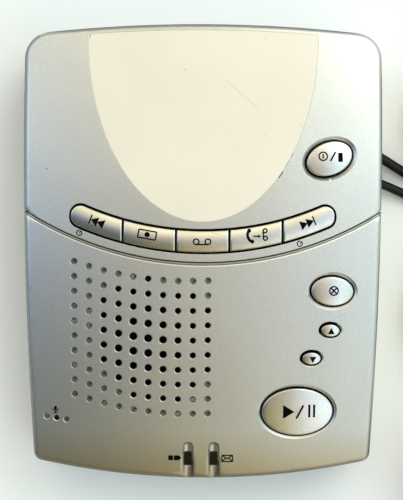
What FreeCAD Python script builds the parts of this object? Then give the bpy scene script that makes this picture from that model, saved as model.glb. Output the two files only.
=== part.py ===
import FreeCAD, Part

import math
import os

from FreeCAD import Vector

# A small digital answering machine, built like the real one: a domed upper casing that carries the
# keys, the key board and the loudspeaker, and a lower casing that carries the main board, the jacks
# and the backup battery. Millimetres, +X right, +Y to the rear, +Z up, z = 0 on the table.

# ---------------------------------------------------------------- casing outline and heights
case_width_rear = 122.4
case_width_mid = case_width_rear - 1.9
case_width_front = case_width_rear - 6.6
right_side = case_width_mid / 2
left_side = -right_side
rear_y = 77.7
front_y = -77.3
rear_bow = 3.0
front_bow = 5.8
rear_corner_radius = 9.0
front_corner_radius = 3.2
min_corner_radius = 0.1
base_front_step = 0.4

crown_height = 37.0
crown_radius = 430.0
crown_y = 10.0
edge_radius = 2.3
wall = 2.2
post_overlap = 0.2

base_bottom = 1.5
base_floor = 2.2
base_draft = 1.0
base_edge_radius = 2.0
seam_height = 14.0
seam_gap = 0.5
lip_height = 2.2
lip_thickness = 1.0
lip_clearance = 0.15
lip_shelf = 3.0

rib_thickness = 1.2
rib_height = 3.0
base_rib_places = (-38.0, -20.0, 0.0, 20.0, 38.0)
base_rib_front = -70.0
base_rib_rear = -12.0
cover_rib_places = (-26.0, 26.0)
cover_rib_front = 48.0
cover_rib_bottom = crown_height - 11.0

# ---------------------------------------------------------------- face: panel, groove, grille
panel_half_width = 39.0
panel_depth_y = 63.8
panel_centre_y = 74.0
panel_edge_inset = 2.4
panel_thickness = 0.5
panel_clearance = 0.05

arc_centre_y = 106.8
# y from front to rear of the part of the arcs that lies on the face
arc_field = (-20.0, 40.0)
groove_centre_y = 108.9
groove_radius = 112.3
groove_width = 0.5
groove_depth = 0.5
second_groove_step = 0.95
second_groove_width = 0.35

grille_pitch = 5.0
grille_count = 10
grille_first_x = -43.2
grille_low_x = -5.0
grille_low_y = -9.65
grille_arc_radius = 116.0
# the holes grow towards the middle of the field
grille_hole_radius = 0.95
grille_hole_growth = 0.36
grille_growth_x = -20.5
grille_growth_y = -30.5
grille_growth_reach = 20.0
blind_depth = 1.0
hole_rim = 0.25
# first and last column that goes right through, for each row of holes that has any
grille_through = {
    0: (5, 5),
    1: (3, 8),
    2: (2, 9),
    3: (2, 9),
    4: (2, 9),
    5: (2, 9),
    6: (2, 9),
    7: (3, 8),
    8: (4, 7),
}

mic_x = left_side + 10.65
mic_y = -56.6
mic_hole_pitch = 3.4
mic_hole_slope = 0.145
mic_hole_radius = 0.9

# ---------------------------------------------------------------- indicator grooves and windows
slot_radius = 2.0
slot_lift = 0.6
slot_rear_y = -64.3
slot_spacing = 8.8
slot_mid_x = -0.35
window_width = 2.4
window_length = 4.6
window_y = -70.55
window_proud = 0.5
window_flange = 0.6
window_flange_thickness = 0.7
window_clearance = 0.05
lamp_radius = 1.5
lamp_gap = 0.4
lamp_rim = 0.35
lamp_rim_height = 0.8

# ---------------------------------------------------------------- keys
key_travel = 1.0
key_gap = 0.55
row_gap = 0.7
key_flange = 1.2
key_flange_thickness = 1.0
key_flange_clearance = 0.3
key_wall = 1.3
key_roof = 0.8
key_stem_radius = 1.9
hollow_key_min_width = 4.0
key_edge_radius = 0.5
row_inner_radius = 98.95
row_outer_radius = 107.4
row_side_margin = 16.3
row_width = case_width_rear - 2 * row_side_margin
row_end_shortfall = 0.8
row_pitch = (row_width - row_end_shortfall) / 5
row_end_radius = 3.9
row_crown_radius = 9.0
row_rise = 0.9
row_names = ("key_back", "key_record", "key_memo", "key_copy", "key_forward")
dish_depth = 1.0
dish_overrun = 0.6
# heights between which the plans of the keys are drawn, well under and over the face
key_block_low = crown_height - 13.0
key_block_high = crown_height + 13.0

# name: centre x, centre y, half length, half width, turn in degrees, width of the dished ring, rise
oval_keys = {
    "key_stop": (right_side - 17.7, 31.7, 8.0, 5.45, 22.0, 1.35, 1.0),
    "key_erase": (right_side - 16.55, -12.8, 7.15, 4.85, -3.0, 1.1, 0.9),
    "key_up": (right_side - 17.05, -26.1, 3.1, 2.0, -3.0, 0.5, 0.5),
    "key_down": (right_side - 23.35, -35.6, 3.1, 2.0, 0.0, 0.5, 0.5),
    "key_play": (right_side - 27.9, -53.85, 12.1, 8.05, 0.0, 1.2, 1.1),
}

# ---------------------------------------------------------------- keypad and boards
board_thickness = 1.6
key_board_z = crown_height - 16.0
key_board_top = key_board_z + board_thickness
mat_thickness = 0.8
dome_radius = 3.2
dome_neck_radius = 2.0
dome_height = 3.6
dome_wall = 0.7
dome_neck_height = 1.2
dome_roof = 1.9
dome_gap = 0.05
# plan of the key board: under the row, down the right side and along to the lamps
key_board_left = left_side + 12.75
key_board_right = right_side - 4.65
key_board_corners = (
    (key_board_left, -4.0),
    (key_board_left, 21.0),
    (right_side - 32.25, 21.0),
    (right_side - 32.25, 43.0),
    (key_board_right, 43.0),
    (key_board_right, -61.0),
    (right_side - 18.25, -61.0),
    (right_side - 18.25, -64.5),
    (12.0, -73.5),
    (-9.0, -73.5),
    (-9.0, -65.0),
    (12.0, -65.0),
    (15.5, -58.0),
    (15.5, -4.0),
)
# fields of the keypad mat: left, right, front and rear
mat_edge = 0.6
mat_boss_gap = 0.4
mat_left = key_board_left + 1.5
mat_right = key_board_right - mat_edge
mat_fields = (
    (mat_left, -mat_left, -3.0, 20.0),
    (right_side - 30.75, mat_right, -3.0, 41.5),
    (right_side - 42.25, mat_right, -60.0, -2.0),
)
main_board_z = 5.2
main_board_top = main_board_z + board_thickness
board_room = key_board_z - main_board_top
main_board_left = left_side + 4.25
main_board_right = 24.0
main_board_front = -6.0
main_board_rear = 44.0

# ---------------------------------------------------------------- what the main board carries
# centre x, centre y, width, length and height of the processor, the message memory and the codec
chip_places = (
    (main_board_left + 26.0, 10.0, 14.0, 14.0, 1.6),
    (-8.0, 10.5, 8.0, 18.4, 1.2),
    (-27.5, 29.0, 7.5, 10.0, 1.8),
)
# x, y, radius and height
capacitor_places = (
    (main_board_left + 15.5, -1.2, 4.0, board_room - 2.2),
    (main_board_left + 14.5, 23.5, 3.15, board_room - 3.2),
    (-18.0, 34.0, 3.15, board_room - 3.2),
    (-22.0, 40.5, 2.5, board_room - 6.2),
)
transformer_x = -1.0
transformer_y = 28.5
transformer_foot_height = 2.0
transformer_core = (18.0, 8.0, board_room - 3.2)
transformer_leg = 3.0
transformer_yoke_share = 0.18
bobbin_gap = 0.2
bobbin_width = 11.6
bobbin_length = 13.0
relay_left = main_board_left + 12.0
relay_front = 34.0
relay_width = 12.0
relay_length = 8.0
relay_height = board_room - 3.7
relay_edge = 0.5
ribbon_left = main_board_left + 5.5
ribbon_front = 5.0
ribbon_rear = 17.0
ribbon_thickness = 0.5
ribbon_reach = 7.0
ribbon_bend_drop = 3.0
header_width = 4.0
header_height = 3.0
header_overhang = 1.0

# ---------------------------------------------------------------- screws and feet
screw_radius = 1.5
screw_head_radius = 2.9
screw_head_height = 2.0
screw_clearance = 0.05
screw_seat_z = 6.5
screw_length = 15.0
screw_head_gap = 0.3
screw_bore_extra = 0.5
drive_half_length = 1.6
drive_half_width = 0.4
drive_depth = 1.0
case_boss_radius = 3.2
screw_well_wall = 1.4
boss_gap = 0.2
boss_overlap = 0.25
post_bore_floor = 1.2
screw_tip_gap = 0.1
boss_rear_x = case_width_rear / 2 - 9.2
boss_front_x = case_width_front / 2 - 10.9
case_bosses = ((-boss_rear_x, 64.0), (boss_rear_x, 64.0), (-boss_front_x, -66.0), (boss_front_x, -66.0))
board_screw_radius = 1.0
board_screw_head_radius = 2.0
board_screw_head_height = 1.3
board_screw_length = 6.0
board_boss_radius = 2.6
key_board_bosses = (
    (key_board_left + 6.5, 1.5),
    (0.0, 14.5),
    (key_board_right - 1.8, 3.0),
    (right_side - 34.25, -26.0),
    (key_board_right - 1.8, -38.0),
)
main_board_posts = (
    (main_board_left + 4.0, -2.0),
    (main_board_left + 4.0, 40.0),
    (20.0, -2.0),
    (6.0, 40.0),
)
foot_radius = 5.0
foot_recess = 0.5
foot_gap = 0.1
foot_edge_radius = 0.6
feet_places = (
    (-boss_front_x, 50.0),
    (boss_front_x, 52.0),
    (-boss_front_x, -50.0),
    (boss_front_x, -50.0),
)

# ---------------------------------------------------------------- loudspeaker and microphone
speaker_x = -15.8
speaker_y = -31.0
speaker_radius = 25.0
speaker_seat_z = crown_height - 8.4
speaker_depth = 17.0
speaker_magnet_radius = 14.0
speaker_magnet_height = 6.5
speaker_flange_thickness = 0.9
gasket_thickness = 0.8
gasket_width = 3.2
collar_wall = 1.5
collar_clearance = 0.3
speaker_screw_angles = (30.0, 150.0, 270.0)
speaker_screw_bite = 0.6
speaker_screw_gap = 0.3
washer_radius = 3.6
washer_thickness = 0.6
basket_rim_inner = 21.4
basket_rim_foot = 21.6
basket_back_radius = 13.0
basket_back_foot = 13.4
basket_hole_radius = 7.5
basket_sheet = 0.9
basket_window_width = 10.0
basket_window_inner = 8.0
basket_window_outer = 24.0
basket_window_low = 2.4
basket_window_high = 1.2
magnet_plate = 1.0
magnet_gap_outer = 7.4
magnet_gap_inner = 6.4
magnet_gap_floor = 1.5
cone_depth = 6.9
cone_paper = 0.4
coil_radius = 7.0
coil_former = 0.2
coil_length = 8.0
cap_shoulder_radius = 4.0
cap_rise = 2.2
cap_shoulder_rise = 1.8
cap_foot_rise = 0.3
cap_thickness = 0.5
surround_inner = 16.5
surround_roll_inner = 17.6
surround_roll_outer = 19.6
surround_foot = 20.6
surround_outer = 21.7
surround_thickness = 0.3
surround_dip = 0.9
surround_crest = 0.4
mic_radius = 3.0
mic_height = 3.0
mic_boot_wall = 1.6
mic_boot_roof = 0.9
mic_port_radius = 1.0
mic_port_depth = 0.5
mic_boot_clearance = 0.05

# ---------------------------------------------------------------- battery, jacks and cord bay
battery_length = 46.4
battery_width = 26.2
battery_height = 17.5
snap_height = 2.2
snap_radius = 3.4
snap_spacing = 12.7
battery_clip_thickness = 3.0
battery_clip_height = 12.0
battery_clip_inset = 1.0
battery_clip_corner = 2.5
battery_clip_gap = 0.1
battery_edge_radius = 2.0
battery_end_gap = 0.3
battery_lift = 0.2
snap_clearance = 0.05
compartment_left = -31.0
compartment_right = 22.0
compartment_front = 46.2
compartment_rear = 72.9
compartment_top = 21.8
compartment_wall = 1.5
lid_thickness = 1.6
lid_clearance = 0.2
lid_tongue = 1.2
lid_ledge = 0.7
grip_setback = 7.0
grip_radius = 15.0
grip_sunk = 14.2
grip_rib_half_length = 3.6
grip_rib_half_width = 0.35
grip_rib_pitch = 2.2
grip_rib_low = 0.1
grip_rib_high = 1.0

bay_left = 26.0
bay_front = 18.0
bay_rear = 44.0
bay_top = 17.0
bay_slope_x = 44.0
bay_side_wall = 2.6
bay_right_top = 10.0
bay_wall = 1.6
notch_width = 5.4
notch_height = 8.4
notch_reach = 3.0

line_jack_y = 37.0
line_jack_width = 13.0
line_jack_length = 15.0
line_jack_height = 11.8
power_jack_y = 25.4
power_jack_width = 9.0
power_jack_length = 13.0
power_jack_height = 10.6
plug_axis_z = 11.8
jack_face_setback = 0.3
jack_gap = 0.2
jack_pin_gap = 0.15
jack_bore_gap = 0.3
jack_bore_extra = 0.5

# ---------------------------------------------------------------- cords
line_cord_diameter = 3.6
line_cord_length = 2100.0
line_coil_x = 107.0
line_coil_y = 47.0
line_coil_radius = 21.0
power_cord_diameter = 3.3
power_cord_length = 1800.0
power_coil_x = 104.0
power_coil_y = -21.0
power_coil_radius = 18.5
coil_turns_across = 4
coil_turns_high = 4
coil_lift = 0.7
tie_width = 5.0
tie_thickness = 0.6
line_tie_angle = 100.0
power_tie_angle = 250.0
coil_corner_share = 0.6
line_notch_y = 37.2
power_notch_y = 26.5

line_plug_length = 13.4
line_plug_width = 9.6
line_plug_height = 6.6
line_plug_inserted = 9.0
line_plug_clearance = 0.15
line_plug_stop_gap = 0.4
line_mouth_extra = 1.0
plug_latch_width = 3.2
plug_latch_height = 0.9
plug_latch_start = 1.5
plug_latch_tail = 0.5
latch_slot_rise = 0.4
latch_slot_side = 0.6
plug_neck_length = 0.9
plug_neck_wall = 0.5
power_plug_radius = 4.7
power_plug_length = 11.0
power_boot_length = 6.0
power_barrel_radius = 2.75
power_barrel_length = 9.5
power_bore_radius = 1.15
plug_gap = 0.2

line_route = (
    (30.4, 37.0, 11.8),
    (38.5, 37.2, 10.9),
    (47.0, 37.7, 8.6),
    (55.5, 37.9, 6.3),
    (62.4, 36.2, 4.9),
    (69.2, 32.3, 3.2),
    (76.2, 28.1, 2.1),
    (83.8, 24.2, 1.95),
    (91.5, 21.6, 1.85),
    (99.5, 20.3, 2.0),
    (106.0, 20.3, 2.4),
)
power_route = (
    (43.3, 25.4, 11.8),
    (48.5, 25.6, 10.9),
    (54.6, 26.5, 8.0),
    (60.6, 26.6, 5.4),
    (66.6, 24.8, 3.6),
    (73.4, 22.0, 2.3),
    (81.0, 18.3, 1.75),
    (89.0, 13.8, 1.7),
    (97.5, 8.6, 1.75),
    (106.0, 4.0, 2.0),
    (114.0, -0.3, 2.35),
)
line_tail_route = (
    (133.4, 47.0, 13.3),
    (133.2, 55.0, 12.6),
    (132.2, 62.5, 9.6),
    (133.1, 69.8, 5.6),
    (135.6, 76.0, 3.7),
    (139.4, 81.5, 3.3),
)
power_tail_route = (
    (126.9, -21.0, 12.25),
    (126.6, -28.0, 11.6),
    (124.8, -34.5, 9.6),
    (121.2, -40.2, 8.9),
    (116.2, -45.0, 9.9),
    (113.2, -50.2, 11.4),
    (111.8, -55.8, 12.0),
)

supply_length = 48.0
supply_width = 36.0
supply_height = 27.0
supply_x = 111.8
supply_rear_y = -66.0
supply_corner = 4.0
supply_relief_length = 10.2
supply_relief_radius = 3.6
relief_groove = 0.45
supply_edge_radius = 1.2
pin_radius = 2.0
pin_length = 18.0
pin_spacing = 19.0
pin_tip_radius = 0.9

tiny = 1e-6
# how far cutters reach past what they cut, and joined shapes into each other
overrun = 1.0


# ================================================================ helpers
def box(x0, x1, y0, y1, z0, z1):
    """Box between two opposite corners."""
    return Part.makeBox(x1 - x0, y1 - y0, z1 - z0, Vector(x0, y0, z0))


def cylinder(x, y, z0, z1, radius):
    """Upright cylinder."""
    return Part.makeCylinder(radius, z1 - z0, Vector(x, y, z0))


def tube(x, y, z0, z1, inner_radius, outer_radius):
    """Upright tube."""
    return cylinder(x, y, z0, z1, outer_radius).cut(cylinder(x, y, z0, z1, inner_radius))


def turned(x, y, points):
    """Solid of revolution about the upright line through x, y; points are (radius, height)."""
    outline = [Vector(x + radius, y, height) for radius, height in points]
    face = Part.Face(Part.makePolygon(outline + outline[:1]))
    return face.revolve(Vector(x, y, 0), Vector(0, 0, 1), 360)


def spun(start, along, points):
    """Solid of revolution about a line; points are (distance from its start, radius)."""
    outline = [Vector(distance, 0, radius) for distance, radius in points]
    face = Part.Face(Part.makePolygon(outline + outline[:1]))
    solid = face.revolve(Vector(0, 0, 0), Vector(1, 0, 0), 360)
    solid.Placement = FreeCAD.Placement(start, FreeCAD.Rotation(Vector(1, 0, 0), along))
    return solid


def ribbed(start, pitch, count, outer_start, outer_end, depth):
    """Outline points of a grip with square grooves; its outer radius runs evenly from end to end."""
    points = []
    for groove in range(count):
        for step, sunk in ((0, 0), (0, depth), (pitch / 2, depth), (pitch / 2, 0)):
            distance = groove * pitch + step
            outer = outer_start + (outer_end - outer_start) * distance / (pitch * count)
            points.append((start + distance, outer - sunk))
    return points


def joined(shapes):
    """One solid from shapes that touch or overlap."""
    whole = shapes[0]
    for shape in shapes[1:]:
        whole = whole.fuse(shape)
    return whole.removeSplitter()


def group(shapes):
    """Separate solids kept in one node."""
    return Part.makeCompound(shapes)


def save(name, shape):
    """Write one node."""
    shape.exportStep(os.path.join("parts", name + ".step"))
    return shape


def face_height(x, y):
    """Height of the domed face above the table."""
    return crown_height - crown_radius + math.sqrt(crown_radius**2 - x**2 - (y - crown_y) ** 2)


def face_normal(x, y):
    """Unit normal of the domed face."""
    up = math.sqrt(crown_radius**2 - x**2 - (y - crown_y) ** 2)
    return Vector(x / crown_radius, (y - crown_y) / crown_radius, up / crown_radius)


def on_face(shape, x, y, turn=0.0, lift=0.0):
    """Set a shape drawn about the origin on the face at x, y, square to it."""
    normal = face_normal(x, y)
    tilt = FreeCAD.Rotation(Vector(0, 0, 1), normal)
    spin = FreeCAD.Rotation(Vector(0, 0, 1), turn)
    place = Vector(x, y, face_height(x, y)) + normal * lift
    moved = shape.copy()
    moved.Placement = FreeCAD.Placement(place, tilt.multiply(spin))
    return moved


def dome(offset):
    """Ball whose surface is the face, moved out by offset; its poles and seam are far from the face."""
    ball = Part.makeSphere(crown_radius + offset)
    ball.rotate(Vector(0, 0, 0), Vector(0, 1, 0), 90)
    ball.translate(Vector(0, crown_y, crown_height - crown_radius))
    return ball


def crossing(first, second, inset, near):
    """Point nearest to near where two arcs' circles, both shrunk by inset, meet."""
    r1 = first.Radius - inset
    r2 = second.Radius - inset
    across = second.Center - first.Center
    span = across.Length
    along = (span**2 + r1**2 - r2**2) / (2 * span)
    rise = math.sqrt(r1**2 - along**2)
    unit = across / span
    foot = first.Center + unit * along
    side = Vector(-unit.y, unit.x, 0) * rise
    return min((foot + side, foot - side), key=lambda point: point.distanceToPoint(near))


def arc_between(centre, radius, start, end):
    """Arc round a centre from one point to another, the short way."""
    middle = centre + ((start + end) / 2 - centre).normalize() * radius
    return Part.Arc(start, middle, end).toShape()


def casing_plan(inset=0.0, front_step=0.0):
    """Plan of the casing as a face at z = 0: four bowed sides with rounded corners, inset all round.

    front_step moves the front edge out.
    """
    front = front_y - front_step
    rear_left = Vector(-case_width_rear / 2, rear_y - rear_bow, 0)
    rear_right = Vector(case_width_rear / 2, rear_y - rear_bow, 0)
    front_left = Vector(-case_width_front / 2, front + front_bow, 0)
    front_right = Vector(case_width_front / 2, front + front_bow, 0)
    bows = [
        Part.Arc(rear_left, Vector(0, rear_y, 0), rear_right),
        Part.Arc(rear_right, Vector(case_width_mid / 2, 0, 0), front_right),
        Part.Arc(front_right, Vector(0, front, 0), front_left),
        Part.Arc(front_left, Vector(-case_width_mid / 2, 0, 0), rear_left),
    ]
    sides = [bow.toShape().Curve for bow in bows]
    tips = (rear_right, front_right, front_left, rear_left)
    radii = (rear_corner_radius, front_corner_radius, front_corner_radius, rear_corner_radius)
    corners = []
    for side, following, tip, radius in zip(sides, sides[1:] + sides[:1], tips, radii):
        rounded = radius - inset
        if rounded < min_corner_radius:
            point = crossing(side, following, inset, tip)
            corners.append((point, point, None, 0))
            continue
        centre = crossing(side, following, radius, tip)
        start = side.Center + (centre - side.Center).normalize() * (side.Radius - inset)
        end = following.Center + (centre - following.Center).normalize() * (following.Radius - inset)
        corners.append((start, end, centre, rounded))
    edges = []
    for index, side in enumerate(sides):
        start = corners[index - 1][1]
        corner_start, corner_end, centre, rounded = corners[index]
        edges.append(arc_between(side.Center, side.Radius - inset, start, corner_start))
        if centre:
            edges.append(arc_between(centre, rounded, corner_start, corner_end))
    return Part.Face(Part.Wire(edges))


def side_x(y):
    """x of the casing's right side at y."""
    rear = Vector(case_width_rear / 2, rear_y - rear_bow, 0)
    front = Vector(case_width_front / 2, front_y + front_bow, 0)
    bow = Part.Arc(rear, Vector(case_width_mid / 2, 0, 0), front).toShape().Curve
    reach = math.sqrt(bow.Radius**2 - (y - bow.Center.y) ** 2)
    return bow.Center.x + math.copysign(reach, case_width_mid / 2 - bow.Center.x)


def bay_right():
    """x where the cord bay ends inside the right-hand wall."""
    return side_x((bay_front + bay_rear) / 2) - bay_side_wall


def upright_edges(shape):
    """Edges that run straight up."""
    found = []
    for edge in shape.Edges:
        spread = edge.BoundBox
        if spread.XLength < 0.001 and spread.YLength < 0.001:
            found.append(edge)
    return found


def casing_block(inset, bottom, front_step=0.0):
    """The casing's outer form, inset all round and below the face, with its rounded top edge."""
    plan = casing_plan(inset, front_step)
    block = plan.translated(Vector(0, 0, bottom)).extrude(Vector(0, 0, crown_height))
    block = block.common(dome(-inset))
    rim = [edge for edge in block.Edges if edge.BoundBox.ZMin > bottom + 1]
    radius = edge_radius - inset
    return block.makeFillet(radius, rim) if radius > 0.2 else block


# ================================================================ plans of the keys
def row_block(inset, left, right, round_left, round_right):
    """Upright block of the curved key row between two x values, with rounded outer ends."""
    outer = row_outer_radius - inset
    inner = row_inner_radius + inset
    low, high = key_block_low, key_block_high
    band = tube(0, arc_centre_y, low, high, inner, outer)
    block = band.common(box(left, right, *arc_field, low, high))
    radius = row_end_radius - inset
    for round_it, x in ((round_left, left), (round_right, right)):
        if round_it:
            ends = [edge for edge in upright_edges(block) if abs(edge.CenterOfMass.x - x) < tiny]
            block = block.makeFillet(radius, ends)
    return block


def row_key_span(index):
    """Left and right x of one row key's cap, and which of its ends are rounded."""
    last = len(row_names) - 1
    middle = (index - last / 2) * row_pitch
    left = -row_width / 2 + row_gap if index == 0 else middle - (row_pitch - key_gap) / 2
    right = row_width / 2 - row_gap if index == last else middle + (row_pitch - key_gap) / 2
    return left, right, index == 0, index == last


def oval_block(name, grow, z0=key_block_low, z1=key_block_high):
    """Upright elliptical block round an oval key; grow widens it."""
    x, y, half_length, half_width, turn, _ring, _rise = oval_keys[name]
    ellipse = Part.Ellipse(Vector(0, 0, 0), half_length + grow, half_width + grow).toShape()
    ellipse.rotate(Vector(0, 0, 0), Vector(0, 0, 1), turn)
    ellipse.translate(Vector(x, y, z0))
    return Part.Face(Part.Wire(ellipse)).extrude(Vector(0, 0, z1 - z0))


def row_key_place(index):
    """Centre of one row key on its arc."""
    left, right, _round_left, _round_right = row_key_span(index)
    x = (left + right) / 2
    middle_radius = (row_inner_radius + row_outer_radius) / 2
    return x, arc_centre_y - math.sqrt(middle_radius**2 - x**2)


# ================================================================ upper casing
def dish(name):
    """Cutter for the shallow ring that slopes down from the face to an oval key's opening."""
    x, y, half_length, half_width, turn, ring, _rise = oval_keys[name]
    rims = []
    for height in (-dish_depth - dish_overrun, dish_overrun):
        grow = key_gap + ring * (1 + height / dish_depth)
        rim = Part.Ellipse(Vector(0, 0, height), half_length + grow, half_width + grow)
        rims.append(Part.Wire(rim.toShape()))
    return on_face(Part.makeLoft(rims, True, True), x, y, turn)


def face_hole(x, y, radius, depth):
    """Cutter for a round hole square to the face, with a softened rim."""
    outline = (
        (0, -depth),
        (radius, -depth),
        (radius, -hole_rim),
        (radius + hole_rim + overrun, overrun),
        (0, overrun),
    )
    return on_face(turned(0, 0, outline), x, y)


def grille_radius(x, y):
    """Radius of a grille hole, which is largest in the middle of the field."""
    away = math.hypot(x - grille_growth_x, y - grille_growth_y) / grille_growth_reach
    return grille_hole_radius + grille_hole_growth * max(0.0, 1 - away**2) ** 2


def grille_holes():
    """Cutters for the field of holes: those over the loudspeaker go through, the others are blind."""
    holes = []
    for row in range(grille_count):
        first, last = grille_through.get(row, (0, -1))
        for column in range(grille_count):
            x = grille_first_x + column * grille_pitch
            sag = grille_arc_radius - math.sqrt(grille_arc_radius**2 - (x - grille_low_x) ** 2)
            y = grille_low_y + sag - row * grille_pitch
            depth = wall + 2 * overrun if first <= column <= last else blind_depth
            holes.append(face_hole(x, y, grille_radius(x, y), depth))
    return holes


def microphone_holes():
    """Cutters for the three microphone holes: the middle one goes through."""
    holes = []
    for step in (-1, 0, 1):
        x = mic_x + step * mic_hole_pitch
        y = mic_y - step * mic_hole_pitch * mic_hole_slope
        depth = blind_depth if step else wall + 2 * overrun
        holes.append(face_hole(x, y, mic_hole_radius, depth))
    return holes


def face_grooves():
    """Cutters for the two fine grooves that run right across the face and down both sides."""
    cutters = []
    for radius, width, depth in (
        (groove_radius, groove_width, groove_depth),
        (groove_radius + second_groove_step, second_groove_width, groove_depth * 0.7),
    ):
        low, high = seam_height - overrun, crown_height + overrun
        band = tube(0, groove_centre_y, low, high, radius - width / 2, radius + width / 2)
        band = band.common(box(-case_width_rear, case_width_rear, *arc_field, low, high))
        cutters.append(band.cut(casing_block(depth, seam_height - 2 * overrun)))
    return cutters


def slot_centres():
    """x of the two indicator grooves."""
    return slot_mid_x - slot_spacing / 2, slot_mid_x + slot_spacing / 2


def indicator_slot(x):
    """Cutter for a round-bottomed groove with a ball end, open at the front edge."""
    start_y = slot_rear_y - slot_radius
    run = Vector(0, window_y - start_y, face_height(x, window_y) - face_height(x, start_y))
    start = Vector(x, start_y, face_height(x, start_y) + slot_lift)
    groove = Part.makeCylinder(slot_radius, 30, start, run)
    ball = Part.makeSphere(slot_radius, start)
    return groove.fuse(ball)


def panel_block(inset):
    """Upright block of the rear panel: half an ellipse that runs out to the rear edge."""
    ellipse = Part.Ellipse(
        Vector(0, panel_centre_y + panel_depth_y - inset, 0),
        Vector(panel_half_width - inset, panel_centre_y, 0),
        Vector(0, panel_centre_y, 0),
    )
    block = Part.Face(Part.Wire(ellipse.toShape())).extrude(Vector(0, 0, 50))
    half = panel_half_width - inset
    block = block.common(box(-half - 5, half + 5, 0, panel_centre_y, 0, 50))
    block = block.fuse(box(-half, half, panel_centre_y, rear_y, 0, 50))
    block = block.removeSplitter()
    limit = casing_plan(panel_edge_inset + inset).extrude(Vector(0, 0, 50))
    return block.common(limit)


def cover_posts(cavity):
    """Bosses and collars that hang from the face, trimmed to the hollow."""
    posts = []
    for x, y in case_bosses:
        posts.append(cylinder(x, y, seam_height, crown_height, case_boss_radius))
    for x, y in key_board_bosses:
        posts.append(cylinder(x, y, key_board_top, crown_height, board_boss_radius))
    collar_inner = speaker_radius + collar_clearance
    collar = tube(
        speaker_x,
        speaker_y,
        speaker_seat_z - gasket_thickness - speaker_flange_thickness,
        crown_height,
        collar_inner,
        collar_inner + collar_wall,
    )
    seat_inner = speaker_radius - gasket_width
    seat = tube(speaker_x, speaker_y, speaker_seat_z, crown_height, seat_inner, collar_inner + tiny)
    posts += [collar, seat]
    for x, y in speaker_screw_places():
        boss_foot = speaker_seat_z - gasket_thickness - speaker_flange_thickness
        posts.append(cylinder(x, y, boss_foot, crown_height, board_boss_radius))
    for x in cover_rib_places:
        posts.append(box(x, x + rib_thickness, cover_rib_front, rear_y, cover_rib_bottom, crown_height))
    boot_radius = mic_radius + mic_boot_wall
    mic_top = microphone_top()
    posts.append(
        tube(mic_x, mic_y, mic_top - mic_height, crown_height, boot_radius, boot_radius + collar_wall)
    )
    return [post.common(cavity) for post in posts]


def cover_bores():
    """Screw holes in the cover's bosses."""
    bores = []
    for x, y in case_bosses:
        top = screw_seat_z + screw_length + screw_bore_extra
        bores.append(cylinder(x, y, seam_height - overrun, top, screw_radius + screw_clearance))
    for x, y in key_board_bosses:
        top = key_board_z + board_screw_length + screw_bore_extra
        bores.append(cylinder(x, y, key_board_z, top, board_screw_radius + screw_clearance))
    for x, y in speaker_screw_places():
        foot = speaker_screw_seat()
        top = foot + speaker_screw_depth(x, y)
        bores.append(cylinder(x, y, foot - overrun, top, board_screw_radius + screw_clearance))
    return bores


def speaker_screw_places():
    """Centres of the three screws round the loudspeaker."""
    reach = speaker_radius + collar_clearance + board_boss_radius - boss_overlap
    places = []
    for angle in speaker_screw_angles:
        turn = math.radians(angle)
        places.append((speaker_x + reach * math.cos(turn), speaker_y + reach * math.sin(turn)))
    return places


def speaker_screw_seat():
    """Height of the flat that the loudspeaker's screws pull against."""
    return speaker_seat_z - gasket_thickness - speaker_flange_thickness


def speaker_screw_depth(x, y):
    """How far a loudspeaker screw may reach above its seat without piercing the face."""
    return face_height(x, y) - wall - speaker_screw_seat() + speaker_screw_bite


def microphone_top():
    """Height of the flat that the microphone's boot presses against."""
    reach = mic_radius + mic_boot_wall
    return face_height(mic_x - reach, mic_y - reach) - wall


def make_top_cover():
    """The silver upper casing."""
    cavity = casing_block(wall, seam_height - overrun)
    shell = casing_block(0, seam_height).cut(cavity)
    cover = joined([shell] + cover_posts(casing_block(wall - post_overlap, seam_height)))
    row_opening = row_block(0, -row_width / 2, row_width / 2, True, True)
    cutters = [row_opening, panel_block(0).cut(dome(-panel_thickness))]
    for name in oval_keys:
        cutters.append(oval_block(name, key_gap))
        cutters.append(dish(name))
    cutters += grille_holes() + microphone_holes() + face_grooves() + cover_bores()
    for x in slot_centres():
        cutters.append(indicator_slot(x))
        cutters.append(window_block(x, window_clearance, 0))
    return cover.cut(cutters)


def make_name_panel():
    """Thin panel let in flush with the face; it is bare."""
    block = panel_block(panel_clearance)
    return block.common(dome(0)).cut(dome(-panel_thickness))


# ================================================================ indicators
def window_block(x, grow, flange):
    """Upright core of a window, or with flange its wider foot, square to the face."""
    half_width = window_width / 2 + grow + flange
    half_length = window_length / 2 + grow + flange
    low = -wall - window_flange_thickness
    high = -wall - window_clearance if flange else slot_lift - slot_radius + window_proud
    core = box(-half_width, half_width, -half_length, half_length, low, high)
    return on_face(core, x, window_y)


def make_windows():
    """Two dark windows that sit in the grooves, each with a flange under the face."""
    windows = []
    for x in slot_centres():
        windows.append(joined([window_block(x, 0, 0), window_block(x, 0, window_flange)]))
    return group(windows)


def make_lamps():
    """Two round-topped lamps on the key board, under the windows."""
    lamps = []
    for x in slot_centres():
        top = face_height(x, window_y - window_length) - wall - window_flange_thickness - lamp_gap
        dome_z = top - lamp_radius
        body = cylinder(x, window_y, key_board_top, dome_z, lamp_radius)
        lens = Part.makeSphere(lamp_radius, Vector(x, window_y, dome_z))
        half = lamp_radius + overrun
        upper = box(x - half, x + half, window_y - half, window_y + half, dome_z, dome_z + half)
        rim = cylinder(x, window_y, key_board_top, key_board_top + lamp_rim_height, lamp_radius + lamp_rim)
        lamp = joined([body, lens.common(upper), rim])
        lamps.append(lamp)
    return group(lamps)


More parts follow.
